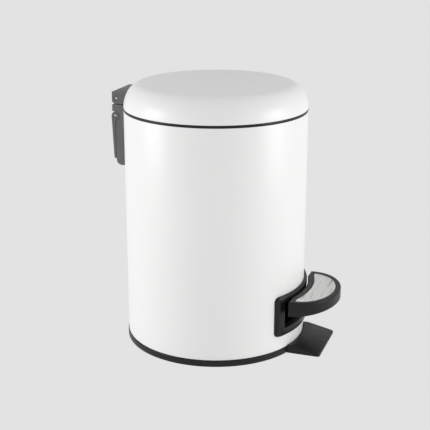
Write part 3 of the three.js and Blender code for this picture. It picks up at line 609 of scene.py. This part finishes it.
class PEDALBIN_OT_base_tray(Operator):
    """The black tray that the shell stands in"""

    bl_idname = "pedalbin.base_tray"
    bl_label = "Base tray"

    def execute(self, context):
        s = context.scene.bin_sizes
        low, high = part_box("base_tray")
        radius = high.x
        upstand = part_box("outer_shell")[1].x - s.shell_wall - s.gap
        inside = upstand - s.tray_wall
        profile = [
            (0, low.z),
            (radius, low.z),
            (radius, s.tray_height),
            (upstand, s.tray_height),
            (upstand, high.z),
            (inside, high.z),
            (inside, s.tray_floor),
            (0, s.tray_floor),
        ]
        bm = soften(spun(context, profile, closed=False), s.plastic_edge)
        tongue_low, tongue_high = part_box("foot_plate")
        half, floor, roof = 20.3 * MM, 2 * MM, 4.4 * MM
        slot = box_between((-half, tongue_low.y, floor), (half, tongue_high.y + s.gap, roof))
        bm = cut(bm, slot)
        place_piece(context, bm, "tray", "body", "black_plastic", ["base_tray"])
        return {"FINISHED"}


class PEDALBIN_OT_foot_plate(Operator):
    """The wedge on the floor under the pedal"""

    bl_idname = "pedalbin.foot_plate"
    bl_label = "Foot plate"

    def execute(self, context):
        s = context.scene.bin_sizes
        low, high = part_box("foot_plate")
        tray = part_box("base_tray")[1].x + s.gap
        outline = [
            (low.y, 0),
            (-tray * 0.9, 0),
            (-tray * 0.9, s.foot_root_height),
            (-tray, s.foot_root_height),
            (low.y, s.foot_edge_height),
        ]
        bm = across(outline, high.x)
        front = low.y + 0.1 * MM
        soften(
            bm,
            s.foot_corner,
            segments=6,
            only=lambda e: all(v.co.y < front for v in e.verts)
            and abs(e.verts[0].co.x - e.verts[1].co.x) < MM,
        )
        soften(bm, s.plastic_edge, only=lambda e: min(v.co.z for v in e.verts) > MM)
        bm = cut(bm, rod((0, 0, -10 * MM), (0, 0, 20 * MM), tray, s.turn_steps))
        half, root, under, top = 20 * MM, 4 * MM, 2.3 * MM, 4.1 * MM
        bm = joined(bm, box_between((-half, -tray - root, under), (half, high.y, top)))
        place_piece(context, bm, "foot", "body", "black_plastic", ["foot_plate"])
        return {"FINISHED"}


class PEDALBIN_OT_outer_shell(Operator):
    """The painted steel tube with its pedal window"""

    bl_idname = "pedalbin.outer_shell"
    bl_label = "Outer shell"

    def execute(self, context):
        s = context.scene.bin_sizes
        low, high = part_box("outer_shell")
        inside = high.x - s.shell_wall
        profile = [(inside, low.z), (high.x, low.z), (high.x, high.z), (inside, high.z)]
        bm = soften(spun(context, profile), s.steel_edge)
        bm = cut(bm, window_prism(context, s.sleeve_wall + s.gap, -high.x * 1.2, high.x * 0.7))
        place_piece(context, bm, "shell", "body", "white_paint", ["outer_shell"])
        return {"FINISHED"}


class PEDALBIN_OT_bezel(Operator):
    """The plastic frame and sleeve round the pedal window"""

    bl_idname = "pedalbin.bezel"
    bl_label = "Pedal bezel"

    def execute(self, context):
        s = context.scene.bin_sizes
        low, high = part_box("pedal_bezel")
        face_radius = -low.y
        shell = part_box("outer_shell")[1].x
        seat = shell + s.gap
        sleeve_past_shell = 3.5 * MM
        sleeve_end = shell - s.shell_wall - sleeve_past_shell
        sleeve = window_prism(context, s.sleeve_wall, -face_radius, face_radius - sleeve_end)
        plate = prism(high.x, low.z, high.z, s.bezel_corner, -face_radius, face_radius - seat)
        bm = cut(joined(plate, sleeve), window_prism(context, 0, -face_radius * 1.1, face_radius))
        front = -face_radius + 0.1 * MM
        outer = s.window_half_width + MM
        bottom, top = s.window_low - MM, s.window_high + MM

        def round_front(edge):
            """Whether an edge runs round the front, outside the window."""
            return all(
                v.co.y < front and (abs(v.co.x) > outer or not bottom < v.co.z < top)
                for v in edge.verts
            )

        soften(bm, s.bezel_edge, segments=2, only=round_front)
        soften(
            bm,
            s.plastic_edge,
            segments=2,
            only=lambda e: not round_front(e) and all(v.co.y < front for v in e.verts),
        )
        steps = int(high.x / s.bezel_bend_step)
        for i in range(-steps, steps + 1):
            bmesh.ops.bisect_plane(
                bm,
                geom=[*bm.verts, *bm.edges, *bm.faces],
                dist=1e-7,
                plane_co=(i * s.bezel_bend_step, 0, 0),
                plane_no=(1, 0, 0),
            )
        for v in bm.verts:
            v.co.y = -math.sqrt(v.co.y**2 - v.co.x**2)
        place_piece(context, bm, "bezel", "body", "black_plastic", ["pedal_bezel"])
        return {"FINISHED"}


def pedal_slab(context, inset, back_radius, back, low, high):
    """The pedal's outline raised between two heights: half an ellipse in front, short sides, and
    a back edge that runs round the bezel."""
    s = context.scene.bin_sizes
    box_low, box_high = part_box("pedal")
    half_width = box_high.x - inset
    depth = -box_low.y - s.pedal_shoulder - inset
    bm = bmesh.new()
    bmesh.ops.create_circle(bm, cap_ends=True, radius=1, segments=128)
    verts = list(bm.verts)
    bmesh.ops.scale(bm, vec=(half_width, depth, 1), verts=verts)
    bmesh.ops.translate(bm, vec=(0, -s.pedal_shoulder, low), verts=verts)
    face = next(iter(bm.faces))
    start = max(back, s.pedal_shoulder)
    sliced = bmesh.ops.bisect_plane(
        bm,
        geom=[*verts, *face.edges, face],
        dist=1e-7,
        plane_co=(0, -start, 0),
        plane_no=(0, 1, 0),
        clear_outer=True,
    )
    chord = next(e for e in sliced["geom_cut"] if isinstance(e, bmesh.types.BMEdge))
    if back < start:
        pushed = bmesh.ops.extrude_edge_only(bm, edges=[chord])["geom"]
        moved = [v for v in pushed if isinstance(v, bmesh.types.BMVert)]
        bmesh.ops.translate(bm, vec=(0, start - back, 0), verts=moved)
        back_edge = next(e for e in pushed if isinstance(e, bmesh.types.BMEdge))
        bmesh.ops.dissolve_edges(bm, edges=[chord], use_verts=False)
        chord = back_edge
    cuts = bmesh.ops.subdivide_edges(bm, edges=[chord], cuts=63)
    for v in (g for g in cuts["geom_inner"] if isinstance(g, bmesh.types.BMVert)):
        reach = back_radius**2 - v.co.x**2
        if reach > 0:
            v.co.y = min(v.co.y, -math.sqrt(reach))
    return drawn_out(bm, (0, 0, high - low))


class PEDALBIN_OT_pedal(Operator):
    """The D-shaped plastic pedal, hollow underneath"""

    bl_idname = "pedalbin.pedal"
    bl_label = "Pedal"

    def execute(self, context):
        s = context.scene.bin_sizes
        low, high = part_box("pedal")
        tip, back = -low.y, -high.y
        top = high.z
        root = low.z
        bm = pedal_slab(context, 0, s.pedal_inside, back, root, top)
        soften(bm, s.pedal_edge, segments=5, only=lambda e: min(v.co.z for v in e.verts) > top - MM)
        spare, tip_low = 5 * MM, top - s.pedal_tip_height
        sloped = [
            (-tip - spare, root - spare),
            (-back + spare, root - spare),
            (-back + spare, root),
            (-back, root),
            (-tip, tip_low),
            (-tip - spare, tip_low + 0.6 * MM),
        ]
        under = across(sloped, high.x + spare)
        wall = s.pedal_wall
        inner_back, plate = s.pedal_inside + wall, top - s.pedal_plate
        hollow = pedal_slab(context, wall, inner_back, back + wall, root - 2 * MM, plate)
        pad_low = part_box("pedal_inlay")[0].z - s.gap
        rim = s.inlay_rim - s.gap
        pad_back = s.pedal_inside + s.inlay_back_rim - s.gap
        recess = pedal_slab(context, rim, pad_back, back + rim, pad_low, top + 2 * MM)
        lever_low, lever_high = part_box("pedal_lever")
        slot = box_between(
            (lever_low.x - s.gap, -s.pedal_inside - wall - MM, lever_high.z - 2 * MM - s.gap),
            (lever_high.x + s.gap, -back + MM, lever_high.z + s.gap),
        )
        bm = cut(bm, under, hollow, recess, slot)
        place_piece(context, bm, "pedal_body", "pedal", "black_plastic", ["pedal"])
        return {"FINISHED"}


class PEDALBIN_OT_pedal_inlay(Operator):
    """The brushed steel pad let into the pedal"""

    bl_idname = "pedalbin.pedal_inlay"
    bl_label = "Pedal inlay"

    def execute(self, context):
        s = context.scene.bin_sizes
        low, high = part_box("pedal_inlay")
        back = -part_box("pedal")[1].y
        pad_back = s.pedal_inside + s.inlay_back_rim
        bm = pedal_slab(context, s.inlay_rim, pad_back, back + s.inlay_rim, low.z, high.z)
        soften(bm, s.steel_edge, segments=2)
        place_piece(context, bm, "steel_pad", "pedal", "brushed_steel", ["pedal_inlay"])
        return {"FINISHED"}


class PEDALBIN_OT_top_ring(Operator):
    """The plastic ring on the shell's top edge, with its three buffers"""

    bl_idname = "pedalbin.top_ring"
    bl_label = "Top ring"

    def execute(self, context):
        s = context.scene.bin_sizes
        low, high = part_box("top_ring")
        bucket_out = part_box("inner_bucket")[1].x
        lip_low = high.z - s.seam_lip
        skirt = high.x - s.shell_wall - s.gap
        recess = bucket_out + 0.5 * MM
        shelf_in = recess - s.bucket_flange
        shelf_top = high.z - 1 * MM - 1.5 * MM - s.gap
        profile = [
            (shelf_in, shelf_top - s.ring_shelf),
            (skirt - s.ring_skirt, shelf_top - s.ring_shelf),
            (skirt - s.ring_skirt, low.z),
            (skirt, low.z),
            (skirt, lip_low),
            (high.x, lip_low),
            (high.x, high.z),
            (recess, high.z),
            (recess, shelf_top),
            (shelf_in, shelf_top),
        ]
        bm = soften(spun(context, profile), 0.3 * MM, segments=2)
        rod_room = 6 * MM
        notch = box_between((-rod_room, bucket_out, low.z - MM), (rod_room, skirt, high.z + MM))
        holes = []
        for i in (1, 2, 3):
            b_low, b_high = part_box(f"lid_buffer_{i}")
            middle = (b_low + b_high) / 2
            radius = (b_high.x - b_low.x) / 2
            hole_low, hole_high = b_low.z - s.gap, high.z + MM
            place = (middle.x, middle.y)
            holes.append(rod((*place, hole_low), (*place, hole_high), radius + s.gap))
            buffer = soften(rod((*place, b_low.z), (*place, b_high.z), radius), 0.5 * MM)
            node = f"lid_buffer_{i}"
            place_piece(context, buffer, f"buffer_{i}", "body", "black_rubber", [node])
        bm = cut(bm, notch, *holes)
        place_piece(context, bm, "ring", "body", "black_plastic", ["top_ring"])
        return {"FINISHED"}


class PEDALBIN_OT_bucket(Operator):
    """The inner bucket and its wire bail"""

    bl_idname = "pedalbin.bucket"
    bl_label = "Bucket and bail"

    def execute(self, context):
        s = context.scene.bin_sizes
        low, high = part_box("inner_bucket")
        ring_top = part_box("top_ring")[1].z
        rim_top = ring_top - MM
        rim_low = rim_top - 1.5 * MM
        flange = high.x
        top_radius = flange - s.bucket_flange
        low_radius = top_radius - s.bucket_taper
        wall, edge = s.bucket_wall, s.bucket_round
        profile = [
            (0, low.z),
            (low_radius, low.z),
            (top_radius, rim_low),
            (flange, rim_low),
            (flange, rim_top),
            (top_radius - wall, rim_top),
            (low_radius - wall, low.z + wall),
            (0, low.z + wall),
        ]
        bm = spun(context, profile, closed=False)
        soften(bm, edge, segments=5, only=lambda e: max(v.co.z for v in e.verts) < low.z + 2 * MM)
        soften(bm, 0.4 * MM, segments=2, only=lambda e: min(v.co.z for v in e.verts) > low.z + 0.02)
        bail_low, bail_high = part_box("bucket_bail")
        bail_z = bail_low.z + (bail_high.z - bail_low.z) / 2
        ears = []
        for side in (-1, 1):
            near = side * (top_radius + s.gap)
            far = side * (top_radius + s.gap + 2.2 * MM)
            ear = box_between(
                (min(near, far), -4.5 * MM, rim_top - 0.5 * MM),
                (max(near, far), 4.5 * MM, high.z),
            )
            soften(
                ear,
                2.2 * MM,
                segments=5,
                only=lambda e: min(v.co.z for v in e.verts) > high.z - MM
                and abs(e.verts[0].co.x - e.verts[1].co.x) > MM,
            )
            hole = rod((near - side * MM, 0, bail_z), (far + side * MM, 0, bail_z), 1.8 * MM)
            ears.append(cut(ear, hole))
        bm = joined(bm, *ears)
        place_piece(context, bm, "bucket", "body", "black_plastic", ["inner_bucket"])

        centre = top_radius + s.gap - s.bail_radius - s.gap
        wire = bmesh.new()
        turn = Matrix.Rotation(math.pi / 2, 4, "X")
        bmesh.ops.create_circle(
            wire,
            radius=s.bail_radius,
            segments=20,
            matrix=Matrix.Translation((centre, 0, bail_z)) @ turn,
        )
        bmesh.ops.spin(
            wire,
            geom=[*wire.verts, *wire.edges],
            cent=(0, 0, 0),
            axis=(0, 0, 1),
            angle=-math.pi,
            steps=72,
        )
        ends = [e for e in wire.edges if e.is_boundary]
        bmesh.ops.holes_fill(wire, edges=ends, sides=20)
        tidy(wire)
        for side in (-1, 1):
            leg = rod(
                (side * (centre - s.bail_radius * 0.6), 0, bail_z),
                (side * bail_high.x, 0, bail_z),
                s.bail_radius,
                segments=20,
            )
            soften(leg, 0.3 * MM, segments=2)
            wire = joined(wire, leg)
        place_piece(context, wire, "bail", "body", "zinc_steel", ["bucket_bail"])
        return {"FINISHED"}


class PEDALBIN_OT_lid(Operator):
    """The domed steel lid"""

    bl_idname = "pedalbin.lid"
    bl_label = "Lid shell"

    def execute(self, context):
        s = context.scene.bin_sizes
        profile = [*lid_profile(context, 0), *reversed(lid_profile(context, s.lid_wall))]
        bm = soften(spun(context, profile, closed=False), s.steel_edge, segments=2)
        place_piece(context, bm, "lid_dome", "lid", "white_paint", ["lid_shell"])
        return {"FINISHED"}


class PEDALBIN_OT_liner(Operator):
    """The plastic liner inside the lid, with the pad that the push rod lifts"""

    bl_idname = "pedalbin.liner"
    bl_label = "Lid liner"

    def execute(self, context):
        s = context.scene.bin_sizes
        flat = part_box("lid_liner")[1].z
        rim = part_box("lid_shell")[0].z + 0.7 * MM
        inset = s.lid_wall + s.liner_gap

        def bowl(extra, top):
            """The liner's profile, moved in by the lid and a wall."""
            points = [p for p in lid_profile(context, inset + extra) if p[1] < top - MM]
            corner = points[0][0] - (top - points[0][1])
            return [(0, top), (corner, top), *points[:-1], (points[-1][0], rim)]

        outside = bowl(0, flat)
        inside = bowl(s.liner_wall, flat - s.liner_wall)
        bm = spun(context, [*outside, *reversed(inside)], closed=False)
        soften(bm, 0.3 * MM, segments=2, angle=60)
        axis_y, axis_z = pin_axis("hinge_pin")
        rod_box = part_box("push_rod")
        outer_y, inner_y = rod_box[1].y, rod_box[1].y - 3.5 * MM - s.gap
        slope = math.tan(math.radians(40))
        crank = across(
            [
                (inner_y, axis_z - (axis_y - inner_y) * slope),
                (outer_y, axis_z - (axis_y - outer_y) * slope),
                (outer_y, rim + 0.3 * MM),
                (outer_y - 2 * MM, axis_z + 2 * MM),
                (inner_y, axis_z + 2 * MM),
            ],
            5 * MM,
        )
        soften(crank, 0.4 * MM, segments=2)
        bm = joined(bm, crank)
        place_piece(context, bm, "lid_liner_dish", "lid", "black_plastic", ["lid_liner"])
        return {"FINISHED"}


class PEDALBIN_OT_hinge_housing(Operator):
    """The plastic housing behind the shell that holds the hinge and the carry handle"""

    bl_idname = "pedalbin.hinge_housing"
    bl_label = "Hinge housing"

    def execute(self, context):
        s = context.scene.bin_sizes
        low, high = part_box("hinge_housing")
        handle_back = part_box("carry_handle")[1].y
        cap_low, cap_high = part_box("hinge_cap")
        pivot_y, pivot_z = pin_axis("carry_pin")
        axis_y, axis_z = pin_axis("hinge_pin")
        seat = pivot_y - 0.1 * MM
        back = cap_high.y
        top = cap_low.z - 0.6 * MM
        handle_top = pivot_z + s.knuckle_radius + s.gap
        half = high.x
        inner = 0.04
        outline = [
            (inner, low.z),
            (seat, low.z),
            (seat, handle_top),
            (back, handle_top),
            (back, top),
            (inner, top),
        ]
        bm = across(outline, half)
        soften(
            bm,
            s.housing_corner,
            segments=8,
            only=lambda e: all(abs(v.co.z - low.z) < MM and v.co.y > 0.08 for v in e.verts),
        )
        soften(bm, s.plastic_edge * 0.5, segments=3)
        leg_in = half - s.handle_leg
        boss_back = handle_back - MM
        boss = across(
            [
                (seat - 2 * MM, pivot_z - s.knuckle_radius),
                (pivot_y, pivot_z - s.knuckle_radius),
                (boss_back, pivot_z - s.knuckle_radius / 2),
                (boss_back, handle_top + 0.5 * MM),
                (seat - 2 * MM, handle_top + 0.5 * MM),
            ],
            leg_in - s.gap,
        )
        soften(boss, 0.4 * MM, segments=2)
        cheek = half - 3 * MM
        knuckle_r = 2.9 * MM
        post = box_between(
            (-cheek + s.gap, axis_y - knuckle_r, top - 0.5 * MM),
            (cheek - s.gap, axis_y + 0.4 * MM, axis_z),
        )
        knuckle = rod((-cheek + s.gap, axis_y, axis_z), (cheek - s.gap, axis_y, axis_z), knuckle_r)
        wall = 2.4 * MM
        inside = box_between((-half + wall, 0, low.z + wall), (half - wall, seat - wall, top - wall))
        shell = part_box("outer_shell")[1].x + s.gap
        drum = rod((0, 0, low.z - MM), (0, 0, axis_z + 10 * MM), shell, s.turn_steps)
        near, far, room = leg_in - s.gap, half + MM, s.knuckle_radius + s.gap
        reliefs = [
            rod((side * near, pivot_y, pivot_z), (side * far, pivot_y, pivot_z), room)
            for side in (-1, 1)
        ]
        bores = [pin_bore("carry_pin"), pin_bore("hinge_pin")]
        bm = cut(joined(bm, boss, post, knuckle), inside, drum, *reliefs, *bores)
        place_piece(context, bm, "housing", "body", "grey_plastic", ["hinge_housing"])
        return {"FINISHED"}


class PEDALBIN_OT_hinge_cap(Operator):
    """The cap on the lid that covers the hinge"""

    bl_idname = "pedalbin.hinge_cap"
    bl_label = "Hinge cap"

    def execute(self, context):
        s = context.scene.bin_sizes
        low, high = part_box("hinge_cap")
        axis_y, axis_z = pin_axis("hinge_pin")
        radius = axis_z - low.z
        front = low.y - 7 * MM
        back_top = high.z - 1.4 * MM
        start = -math.pi / 2
        end = -math.acos((high.y - axis_y) / radius)
        arc = [
            (
                axis_y + radius * math.cos(start + (end - start) * i / 16),
                axis_z + radius * math.sin(start + (end - start) * i / 16),
            )
            for i in range(17)
        ]
        outline = [(front, low.z), *arc, (high.y, back_top), (front, back_top + 2.0 * MM)]
        bm = across(outline, high.x)
        soften(bm, s.plastic_edge * 1.5, segments=4)
        cheek = high.x - 3 * MM
        pocket_front = axis_y - 4.1 * MM
        pocket = across(
            [
                (pocket_front, low.z - MM),
                (high.y + MM, low.z - MM),
                (high.y + MM, axis_z),
                (high.y - 1.1 * MM, axis_z),
                (high.y - 1.1 * MM, axis_z + 3.2 * MM),
                (pocket_front, axis_z + 3.2 * MM),
            ],
            cheek,
        )
        lid = spun(
            context,
            [
                *lid_profile(context, -s.gap),
                (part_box("lid_shell")[1].x + s.gap, low.z - 3 * MM),
                (0, low.z - 3 * MM),
            ],
            closed=False,
        )
        bm = cut(bm, pocket, lid, pin_bore("hinge_pin"))
        place_piece(context, bm, "cap", "lid", "grey_plastic", ["hinge_cap"])
        return {"FINISHED"}


class PEDALBIN_OT_carry_handle(Operator):
    """The U-shaped carry handle at the back"""

    bl_idname = "pedalbin.carry_handle"
    bl_label = "Carry handle"

    def execute(self, context):
        s = context.scene.bin_sizes
        low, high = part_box("carry_handle")
        pivot_y, pivot_z = pin_axis("carry_pin")
        seat = pivot_y + 0.2 * MM
        half = high.x
        leg_in = half - s.handle_leg
        plate = across(
            [
                (seat, low.z),
                (pivot_y + 2.2 * MM, low.z),
                (high.y - 0.001 * MM, pivot_z),
                (seat, pivot_z),
            ],
            half,
        )
        loop = box_between(
            (-leg_in, seat - MM, low.z + 11 * MM), (leg_in, high.y + MM, pivot_z + MM)
        )
        soften(
            loop, 3 * MM, segments=6, only=lambda e: abs(e.verts[0].co.y - e.verts[1].co.y) > MM
        )
        soften(
            plate,
            3.2 * MM,
            segments=6,
            only=lambda e: abs(e.verts[0].co.y - e.verts[1].co.y) > MM
            and all(v.co.z < low.z + MM for v in e.verts),
        )
        bm = cut(plate, loop)
        soften(
            bm,
            s.handle_edge,
            segments=3,
            only=lambda e: min(v.co.y for v in e.verts) > seat + 0.5 * MM,
        )
        radius = s.knuckle_radius
        knuckles = [
            rod((side * leg_in, pivot_y, pivot_z), (side * half, pivot_y, pivot_z), radius)
            for side in (-1, 1)
        ]
        for knuckle in knuckles:
            soften(knuckle, 0.4 * MM, segments=2)
        bm = cut(joined(bm, *knuckles), pin_bore("carry_pin"))
        place_piece(context, bm, "handle", "carry_handle", "grey_plastic", ["carry_handle"])
        return {"FINISHED"}


class PEDALBIN_OT_pins(Operator):
    """The three steel pins, with chamfered ends"""

    bl_idname = "pedalbin.pins"
    bl_label = "Pins"

    def execute(self, context):
        for name in ("hinge_pin", "carry_pin", "pivot_pin"):
            low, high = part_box(name)
            y, z = pin_axis(name)
            bm = rod((low.x, y, z), (high.x, y, z), (high.y - low.y) / 2)
            soften(bm, 0.35 * MM, segments=2)
            place_piece(context, bm, f"{name}_turned", "body", "zinc_steel", [name])
        return {"FINISHED"}


class PEDALBIN_OT_screws(Operator):
    """The pan-head screws with their cross recesses"""

    bl_idname = "pedalbin.screws"
    bl_label = "Screws"

    def execute(self, context):
        up, down, back = Vector((0, 0, 1)), Vector((0, 0, -1)), Vector((0, -1, 0))
        groups = [
            ("bracket_screw", "body", up),
            ("pedal_screw", "pedal", down),
            ("housing_screw", "body", back),
            ("lid_screw", "lid", back),
        ]
        for group, body, towards_head in groups:
            for i in (1, 2):
                node = f"{group}_{i}"
                low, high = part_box(node)
                middle = (low + high) / 2
                half = abs((high - low).dot(towards_head)) / 2
                head_top = middle + towards_head * half
                tip = middle - towards_head * half
                seat = head_top - towards_head * 2 * MM
                head = rod(head_top, seat, 3.2 * MM, segments=32)
                edge = 0.1 * MM

                def on_top(e):
                    """Whether an edge lies in the head's flat top."""
                    return all((v.co - head_top).dot(towards_head) > -edge for v in e.verts)

                soften(head, 1.1 * MM, segments=5, only=on_top)
                shank = rod(seat + towards_head * 0.5 * MM, tip, 1.5 * MM, segments=24)
                soften(shank, 0.3 * MM, segments=2)
                bm = joined(head, shank)
                side = Vector((1, 0, 0))
                other = side.cross(towards_head)
                for arm, width in ((side, other), (other, side)):
                    reach = arm * 1.7 * MM + width * 0.4 * MM
                    deep = towards_head * 1.2 * MM
                    corner_a = head_top - reach - deep
                    corner_b = head_top + reach + towards_head * MM
                    lowest = Vector(map(min, corner_a, corner_b))
                    highest = Vector(map(max, corner_a, corner_b))
                    bm = cut(bm, box_between(lowest, highest))
                place_piece(context, bm, f"{node}_cross", body, "zinc_steel", [node])
        return {"FINISHED"}


class PEDALBIN_OT_push_rod(Operator):
    """The bent wire that lifts the lid"""

    bl_idname = "pedalbin.push_rod"
    bl_label = "Push rod"

    def execute(self, context):
        low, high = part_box("push_rod")
        radius = -low.x
        foot_y = low.y + radius
        top_y = high.y - radius
        foot_z = low.z + radius
        path = [
            (high.x, foot_y, foot_z),
            (0, foot_y, foot_z),
            (0, foot_y, foot_z + 12 * MM),
            (0, top_y, foot_z + 19 * MM),
            (0, top_y, high.z - radius),
        ]
        bm = bmesh.new()
        verts = [bm.verts.new(p) for p in path]
        for pair in zip(verts, verts[1:]):
            bm.edges.new(pair)
        round_corners(bm, verts[1:-1], 2.2 * MM)
        end = next(v for v in bm.verts if len(v.link_edges) == 1 and v.co.x > MM)
        points, walked, here = [end.co.copy()], set(), end
        while True:
            step = next((e for e in here.link_edges if e not in walked), None)
            if step is None:
                break
            walked.add(step)
            here = step.other_vert(here)
            points.append(here.co.copy())
        bm.free()
        bm = swept_wire(points, radius)
        place_piece(context, bm, "rod", "push_rod", "zinc_steel", ["push_rod"], smooth_angle=50)
        return {"FINISHED"}


class PEDALBIN_OT_plated_steel(Operator):
    """The plated finish of the lever and its bracket, which keep their CAD shapes"""

    bl_idname = "pedalbin.plated_steel"
    bl_label = "Lever and bracket"

    def execute(self, context):
        for name in ("pedal_lever", "pivot_bracket"):
            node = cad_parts[name]
            node.data.materials.clear()
            node.data.materials.append(finish_for(context, "zinc_steel"))
        return {"FINISHED"}


class PEDALBIN_OT_stage(Operator):
    """The floor, the soft studio light and the camera"""

    bl_idname = "pedalbin.stage"
    bl_label = "Stage"

    def execute(self, context):
        scene = context.scene
        scene.view_settings.view_transform = "Standard"
        floor_colour = (*scene.bin_colours.floor, 1)

        world = bpy.data.worlds.new("studio")
        scene.world = world
        world.use_nodes = True
        tree = world.node_tree
        background = tree.nodes["Background"]
        background.inputs["Color"].default_value = floor_colour
        # The backdrop looks as pale as the floor and lights the bin a little less.
        sight = add(tree, "ShaderNodeLightPath")
        level = between(tree, sight.outputs["Is Camera Ray"], 0.8, 0.99)
        tree.links.new(level, background.inputs["Strength"])

        material, tree, shader, place = new_material("pale_floor")
        gloss = between(tree, noise(tree, place, 40, 3), 0.85, 0.95)
        values = {
            "Base Color": (0.02, 0.02, 0.02, 1),
            "Specular IOR Level": 0,
            "Emission Color": floor_colour,
            "Emission Strength": 0.98,
        }
        feed(tree, shader, {"Roughness": gloss}, values)
        bm = bmesh.new()
        bmesh.ops.create_grid(bm, x_segments=1, y_segments=1, size=20)
        bmesh.ops.translate(bm, verts=bm.verts, vec=(0, 0, -0.2 * MM))
        mesh = bpy.data.meshes.new("floor")
        bm.to_mesh(mesh)
        bm.free()
        mesh.materials.append(material)
        floor = bpy.data.objects.new("floor", mesh)
        scene.collection.objects.link(floor)

        lamps = [
            ("left_softbox", (-0.68, 1.1, 0.35), (0, 0, 0.13), 0.6, 6.7),
            ("right_softbox", (0.07, -1.3, 0.35), (0, 0, 0.13), 0.6, 6.6),
        ]
        for name, where, aim, size, power in lamps:
            light = bpy.data.lights.new(name, "AREA")
            light.shape = "SQUARE"
            light.size = size
            light.energy = power
            lamp = bpy.data.objects.new(name, light)
            lamp.location = where
            lamp.rotation_euler = (Vector(aim) - Vector(where)).to_track_quat("-Z", "Y").to_euler()
            scene.collection.objects.link(lamp)

        view = scene.bin_camera
        camera_data = bpy.data.cameras.new("camera")
        camera_data.lens = view.lens
        camera_data.shift_x = view.shift_x
        camera_data.shift_y = view.shift_y
        camera = bpy.data.objects.new("camera", camera_data)
        away = Vector((math.sin(view.azimuth), -math.cos(view.azimuth), 0))
        camera.location = away * view.distance + Vector((0, 0, view.height))
        look = -away * math.cos(view.pitch) - Vector((0, 0, math.sin(view.pitch)))
        camera.rotation_euler = look.to_track_quat("-Z", "Y").to_euler()
        scene.collection.objects.link(camera)
        scene.camera = camera
        return {"FINISHED"}


OPERATORS = (
    PEDALBIN_OT_stage,
    PEDALBIN_OT_base_tray,
    PEDALBIN_OT_foot_plate,
    PEDALBIN_OT_outer_shell,
    PEDALBIN_OT_bezel,
    PEDALBIN_OT_pedal,
    PEDALBIN_OT_pedal_inlay,
    PEDALBIN_OT_top_ring,
    PEDALBIN_OT_bucket,
    PEDALBIN_OT_lid,
    PEDALBIN_OT_liner,
    PEDALBIN_OT_hinge_housing,
    PEDALBIN_OT_hinge_cap,
    PEDALBIN_OT_carry_handle,
    PEDALBIN_OT_pins,
    PEDALBIN_OT_screws,
    PEDALBIN_OT_push_rod,
    PEDALBIN_OT_plated_steel,
)


class PEDALBIN_PT_panel(Panel):
    """Lists the bin's pieces"""

    bl_idname = "PEDALBIN_PT_panel"
    bl_label = "Pedal bin"
    bl_space_type = "VIEW_3D"
    bl_region_type = "UI"
    bl_category = "Pedal bin"

    def draw(self, context):
        for operator in OPERATORS:
            self.layout.operator(operator.bl_idname)


GROUPS = (PEDALBIN_PG_sizes, PEDALBIN_PG_colours, PEDALBIN_PG_camera)


def register():
    for cls in (*GROUPS, *OPERATORS, PEDALBIN_PT_panel):
        bpy.utils.register_class(cls)
    bpy.types.Scene.bin_sizes = PointerProperty(type=PEDALBIN_PG_sizes)
    bpy.types.Scene.bin_colours = PointerProperty(type=PEDALBIN_PG_colours)
    bpy.types.Scene.bin_camera = PointerProperty(type=PEDALBIN_PG_camera)


def unregister():
    del bpy.types.Scene.bin_camera
    del bpy.types.Scene.bin_colours
    del bpy.types.Scene.bin_sizes
    for cls in reversed((*GROUPS, *OPERATORS, PEDALBIN_PT_panel)):
        bpy.utils.unregister_class(cls)


def main():
    register()
    for operator in OPERATORS:
        group, name = operator.bl_idname.split(".")
        getattr(getattr(bpy.ops, group), name)()


if __name__ == "__main__":
    main()
